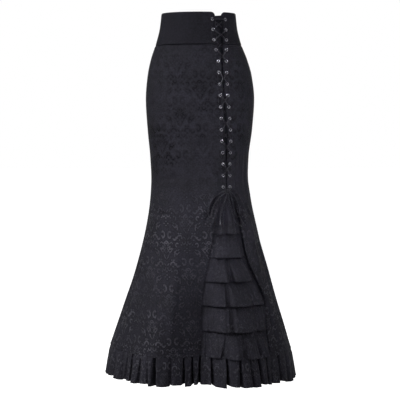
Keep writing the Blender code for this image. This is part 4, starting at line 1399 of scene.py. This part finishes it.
def ruffle_troughs():
    """Every trough of the hem ruffle, once round from the left side seam.

    Sines of uneven multiples make those of the back differ from each other.
    """
    back = []
    for half in (0, 1):
        for step in range(1, BACK_TROUGHS + 1):
            place = SIDE_SEAM * (1 + half + step / BACK_TROUGHS)
            free = step < BACK_TROUGHS
            sway = BACK_TROUGH_SWAY * math.sin(2.4 * step + 4 * half) * free
            lean = math.sin(3.1 * step + half) * free
            depth = BACK_TROUGH.depth + BACK_TROUGH_DEPTH_VARIES * math.sin(1.9 * step + 2 * half)
            width = BACK_TROUGH.half_width + BACK_TROUGH_WIDTH_VARIES * math.sin(4.3 * step)
            back.append(Trough(place + sway, lean, depth, width))
    return list(FRONT_TROUGHS) + back


def godet_share(angle):
    """1 in the middle of the slit at the hem, 0 outside it."""
    left, right = slit_span(HEM_HEIGHT)
    rate = girth_rate((left + right) / 2, HEM_HEIGHT)
    return smooth(np.minimum(angle - left, right - angle) * rate / TIER_LIFT_WIDTH)


def fold_shape(troughs, gap, share, pitch, angle, below):
    """How far out the folds bulge between their troughs, and in at the troughs, more so towards the edge."""
    narrow = np.minimum(1.0, np.degrees(pitch) / RUFFLE_FULL_FOLD)
    crest = np.sin(np.pi * share) ** RUFFLE_FLATNESS
    ridge = RUFFLE_RIDGE * narrow * mix(RUFFLE_SEAM_RIDGE, 1.0, below)
    uneven = RUFFLE_UNEVEN * np.sin(2 * np.pi * (2.2 * share + 0.37 * gap) + 4 * below) * below * crest
    wave = ridge * (2 * crest - 1) + uneven
    depths = np.array([trough.depth for trough in troughs])
    half_widths = np.array([trough.half_width for trough in troughs])
    cloth_wide = pitch * girth_rate(angle, HEM_HEIGHT)
    for trough, distance in ((gap, share * cloth_wide), (gap + 1, (1 - share) * cloth_wide)):
        reach = distance / (half_widths[trough] * mix(TROUGH_SEAM_WIDTH, 1.0, below))
        dive = 1 - smooth((reach - RUFFLE_FLOOR) / (1 - RUFFLE_FLOOR))
        wave = wave - depths[trough] * mix(TROUGH_SEAM_DEPTH, 1.0, below**TROUGH_DEEPENING) * dive
    return wave


def ruffle_points(troughs):
    """One strip of the ruffle, from its first trough to its last, its folds bulging over their troughs.

    Its header lies behind the panels' hem, and it comes out from under them at the seam. Its start turns in
    and laps behind the end of the strip before it.
    """
    gaps = len(troughs) - 1
    across, down = grid_shares(FOLD_COLUMNS * gaps, RUFFLE_ROWS)
    length = RUFFLE_FALL + RUFFLE_HEADER
    below = np.maximum(0.0, down * length - RUFFLE_HEADER) / RUFFLE_FALL
    place_on = across * gaps
    gap = np.minimum(place_on.astype(int), gaps - 1)
    share = place_on - gap
    share = share - RUFFLE_CROWDING * np.sin(2 * np.pi * share) / (2 * np.pi)
    at_seam = np.radians(np.array([trough.angle for trough in troughs]))
    at_edge = at_seam + np.radians(np.array([trough.lean for trough in troughs]))
    start = mix(at_seam[gap], at_edge[gap], below)
    pitch = mix(at_seam[gap + 1], at_edge[gap + 1], below) - start
    growth = smooth(RUFFLE_PINCH_AT_SEAM + below * RUFFLE_PINCH_GROWTH)
    angle = start + pitch * (share - RUFFLE_PINCH * np.sin(2 * np.pi * share) * growth)
    angle = angle + SEAM_GAP / 2 / girth_rate(angle, HEM_HEIGHT) * (1 - 2 * across)
    top = skin(angle, hem_height(angle) - GATHER_GAP)
    set_back = RUFFLE_GODET_SET_BACK * godet_share(angle)
    under = RUFFLE_UNDER * (1 - smooth(below / RUFFLE_OUT_BY))
    hem = HEM_STEP * smooth((below * RUFFLE_FALL - RUFFLE_FALL + HEM_WIDTH) / HEM_STEP_OVER)
    wave = fold_shape(troughs, gap, share, pitch, angle, below)
    move = wave + hem + RUFFLE_FLARE * below - set_back - under
    step = np.sin(2.3 * gap + 1.0) + RUFFLE_EDGE_TILT * np.sin(5.1 * gap) * (share - 0.5)
    drop = down * length - RUFFLE_HEADER + below * RUFFLE_EDGE_STEP * step
    points = top + outward(angle, np.full_like(angle, HEM_HEIGHT)) * move[..., None]
    points[..., 2] -= drop
    out = outward(angle[:, 0], HEM_HEIGHT)
    turned = points[:, 0] - out * RUFFLE_LAP_DEPTH
    lap = turned - np.cross((0.0, 0.0, 1.0), out) * RUFFLE_LAP
    return np.concatenate((lap[:, None], turned[:, None], points), axis=1)


def make_hem_ruffle(look):
    troughs = ruffle_troughs()
    front_end = len(FRONT_TROUGHS) - 1
    back_middle = front_end + BACK_TROUGHS
    strips = (
        ("hem_ruffle_front", troughs[: front_end + 1]),
        ("hem_ruffle_back_right", troughs[front_end : back_middle + 1]),
        ("hem_ruffle_back_left", troughs[back_middle:]),
    )
    for name, angles in strips:
        points = ruffle_points(angles)
        uv = gathered_uv(points, RUFFLE_PATTERN_START)
        rows = [("bottom", HEM_WIDTH)]
        cloth_piece(name, points, uv, CLOTH, look, stitched=rows)


# ---------------------------------------------------------------- eyelets, lace and bow


def cloth_frame(angle, height, place):
    """The matrix that stands on the cloth there: X across, Y up the cloth and Z out of it."""
    out = Vector(normal_at(angle, height))
    across = Vector((0, 0, 1)).cross(out).normalized()
    turned = Matrix((across, out.cross(across), out)).transposed().to_4x4()
    return Matrix.Translation(Vector(place)) @ turned


def turned_mesh(name, section, steps, look, closed=False):
    """A section, as radii and heights, turned round the Z axis. A closed one makes a ring."""
    made = bmesh.new()
    turns = [2 * math.pi * step / steps for step in range(steps)]
    rings = []
    for radius, rise in section:
        if radius == 0:
            rings.append([made.verts.new((0, 0, rise))] * steps)
        else:
            rings.append([made.verts.new((radius * math.cos(t), radius * math.sin(t), rise)) for t in turns])
    following = rings[1:] + rings[:1] if closed else rings[1:]
    for first, second in zip(rings, following):
        for step in range(steps):
            after = (step + 1) % steps
            corners = [first[step], first[after], second[after], second[step]]
            made.faces.new(list(dict.fromkeys(corners)))
    bmesh.ops.recalc_face_normals(made, faces=made.faces)
    mesh = bpy.data.meshes.new(name)
    made.to_mesh(mesh)
    made.free()
    mesh.shade_smooth()
    mesh.materials.append(look)
    return mesh


def eyelet_mesh(name, wall, metal):
    """A rolled eyelet: domed flange, barrel through the cloth and washer behind it."""
    back = -wall - EYELET_BEHIND
    section = [(EYELET_BORE, back - 0.0005), (EYELET_BORE, -0.0002)]
    middle, roll = (EYELET_BORE + EYELET_FLANGE) / 2, (EYELET_FLANGE - EYELET_BORE) / 2
    for step in range(EYELET_DOME_STEPS + 1):
        turn = math.pi * (1 - step / EYELET_DOME_STEPS)
        section.append((middle + roll * math.cos(turn), EYELET_FOOT + EYELET_DOME * math.sin(turn)))
    section += [(EYELET_FLANGE - 0.0003, 0.00005), (EYELET_BARREL, 0.0), (EYELET_BARREL, back)]
    section += [(EYELET_WASHER, back), (EYELET_WASHER, back - 0.0004), (EYELET_BORE + 0.0004, back - 0.0007)]
    return turned_mesh(name, section, EYELET_STEPS, metal, closed=True)


def make_eyelets(metal):
    band, body = eyelet_mesh("eyelet_band", BAND_CLOTH, metal), eyelet_mesh("eyelet_body", CLOTH, metal)
    for row, height in enumerate(row_heights(), start=1):
        for side, side_name in ((-1, "left"), (1, "right")):
            mesh = band if row <= BAND_ROWS else body
            eyelet = link(bpy.data.objects.new(f"ring_{side_name}_{row:02d}", mesh))
            angle = eyelet_angle(side, height)
            eyelet.matrix_world = cloth_frame(angle, height, skin(angle, height))
            stand_for(eyelet, "eyelet_metal", f"eyelet_{side_name}_{row:02d}")


def smooth_route(points, steps):
    """A curve through the points, with this many pieces between each two."""
    route = []
    count = len(points)
    for place in range(count - 1):
        before, start = points[max(0, place - 1)], points[place]
        end, after = points[place + 1], points[min(count - 1, place + 2)]
        for step in range(steps):
            share = step / steps
            bend = 2 * before - 5 * start + 4 * end - after
            twist = 3 * start - before - 3 * end + after
            spot = 2 * start + (end - before) * share + bend * share**2 + twist * share**3
            route.append(spot / 2)
    route.append(points[-1])
    return route


def cord(name, route, look, node, cyclic=False):
    """A round cord along the route, which stands for its CAD node. A cyclic one has no ends."""
    curve = bpy.data.curves.new(name, "CURVE")
    curve.dimensions = "3D"
    curve.bevel_depth = LACE / 2
    curve.bevel_resolution = 4
    curve.use_fill_caps = not cyclic
    spline = curve.splines.new("POLY")
    spline.points.add(len(route) - 1)
    for point, place in zip(spline.points, route):
        point.co = (*place, 1)
    spline.use_smooth = True
    spline.use_cyclic_u = cyclic
    curve.materials.append(look)
    piece = link(bpy.data.objects.new(name, curve))
    stand_for(piece, "satin_cord", node)
    return piece


def lace_run(start, end, outs):
    """Points from over one eyelet to over the next, each an angle, a height and a distance out."""
    shares = (0.0, RUN_END, 0.5, 1 - RUN_END, 1.0)
    return [(mix(start[0], end[0], s), mix(start[1], end[1], s), out) for s, out in zip(shares, outs)]


def half_lace(first_side):
    """The cord from the bar of the first row, through every row, out at the last."""
    side, places = first_side, []
    for height in row_heights():
        places.append((float(eyelet_angle(side, height)), height))
        side = -side
    crossing = LACE + LACE_GAP if first_side > 0 else 0
    front, behind = [LACE_OVER_HEAD] * 5, [-LACE_BEHIND_WASHER] * 5
    front[2], behind[2] = LACE_NEAR_CLOTH + crossing, -LACE_NEAR_LINING - crossing
    route = [(*places[0], LACE_OVER_HEAD)]
    for row in range(len(places) - 1):
        route += lace_run(places[row], places[row + 1], front if row % 2 else behind)
    route.append((*places[-1], LACE_OVER_HEAD))
    return route


def knot_place():
    height = LAST_BODY_ROW - KNOT_DROP
    left, right = opening_edge(-1, LAST_BODY_ROW), opening_edge(1, LAST_BODY_ROW)
    return float((left + right) / 2), height


def from_knot(across, rise, out):
    angle, height = knot_place()
    return skin(angle + across / girth_rate(angle, height), height + rise, out)


def make_lace(satin):
    """The laced stretch, from the knot up one side, across the top bar and down the other."""
    left, right = half_lace(-1), half_lace(1)
    knot_angle, knot_height = knot_place()
    across, rise, out = LACE_MEETS_KNOT
    ends = []
    for side in (1, -1):
        turn = side * across / float(girth_rate(knot_angle, knot_height))
        ends.append((knot_angle + turn, knot_height + rise, out))
    places = [ends[0]] + left[::-1] + right + [ends[1]]
    points = [skin(*place) for place in places]
    rounded = [points[0]]
    for point in points[1:]:
        if np.linalg.norm(point - rounded[-1]) > SHORTEST_STEP:
            rounded.append(point)
    cord("lacing_cord", smooth_route(rounded, LACING_STEPS), satin, "lace")


def make_knot(satin):
    """A trefoil of cord drawn tight: three turns that cross over each other."""
    angle, height = knot_place()
    frame_there = cloth_frame(angle, height, from_knot(0, 0, KNOT_OUT))
    wide, deep, tall = (size - LACE / 2 for size in KNOT_SIZE)
    route = []
    for step in range(KNOT_STEPS):
        turn = 2 * math.pi * step / KNOT_STEPS
        reach = (2 + math.cos(3 * turn)) / 3
        across, up = wide * reach * math.cos(2 * turn), tall * reach * math.sin(2 * turn)
        route.append(frame_there @ Vector((across, up, deep * math.sin(3 * turn))))
    cord("tied_knot", route, satin, "bow_knot", cyclic=True)


# The metal tip's outline, from the middle of its mouth to its end
AGLET_STEPS = 20
Turned = namedtuple("Turned", "radius rise")
AGLET_OUTLINE = (
    Turned(0.0, 0.0),
    Turned(0.0019, 0.0),
    Turned(0.0021, 0.0004),
    Turned(0.0020, 0.0009),
    Turned(0.0018, 0.0014),
    Turned(0.0018, 0.0040),
    Turned(0.00165, 0.0044),
    Turned(0.0018, 0.0048),
    Turned(0.0018, 0.0110),
    Turned(0.0015, 0.0122),
    Turned(0.0008, 0.0129),
    Turned(0.0, 0.0130),
)


def aglet(name, start, direction, metal, node):
    """A crimped metal tip: a mouth with a rolled lip, a straight barrel and a rounded end."""
    tip = link(bpy.data.objects.new(name, turned_mesh(name, AGLET_OUTLINE, AGLET_STEPS, metal)))
    turned = Vector(direction).to_track_quat("Z", "Y").to_matrix().to_4x4()
    tip.matrix_world = Matrix.Translation(Vector(start)) @ turned
    stand_for(tip, "eyelet_metal", node)
    return tip


def make_bow(satin, metal):
    make_knot(satin)
    for side, table in (("left", BOW_LOOP_LEFT), ("right", BOW_LOOP_RIGHT)):
        route = smooth_route([from_knot(*place) for place in table], ROUTE_STEPS)
        loop = cord(f"loop_{side}", route, satin, f"bow_loop_{side}")
    for side, table in (("left", LACE_END_LEFT), ("right", LACE_END_RIGHT)):
        route = smooth_route([from_knot(*place) for place in table], ROUTE_STEPS)
        end = cord(f"free_end_{side}", route, satin, f"lace_end_{side}")
        direction = unit(route[-1] - route[-2])
        tip = aglet(f"tip_{side}", route[-1] + direction * TOUCH_GAP, direction, metal, f"aglet_{side}")


def main():
    bpy.context.scene.view_settings.view_transform = "Standard"
    make_camera()
    satin = make_satin()
    make_bow(satin, make_metal(AGLET_PLATE))
    make_lace(satin)
    make_lamps()
    make_sky()
    make_floor()
    damask = damask_group()
    plain = make_jacquard(PLAIN_CLOTH, damask)
    make_waistband(plain)
    make_body(make_jacquard(DAMASK_CLOTH, damask))
    make_underlay(make_jacquard(UNDERLAY_CLOTH, damask))
    make_godet_base(plain)
    make_tiers(make_jacquard(GATHERED_CLOTH, damask))
    make_hem_ruffle(make_jacquard(RUFFLED_CLOTH, damask))
    make_stitches(make_thread())
    make_eyelets(make_metal(EYELET_PLATE))


main()
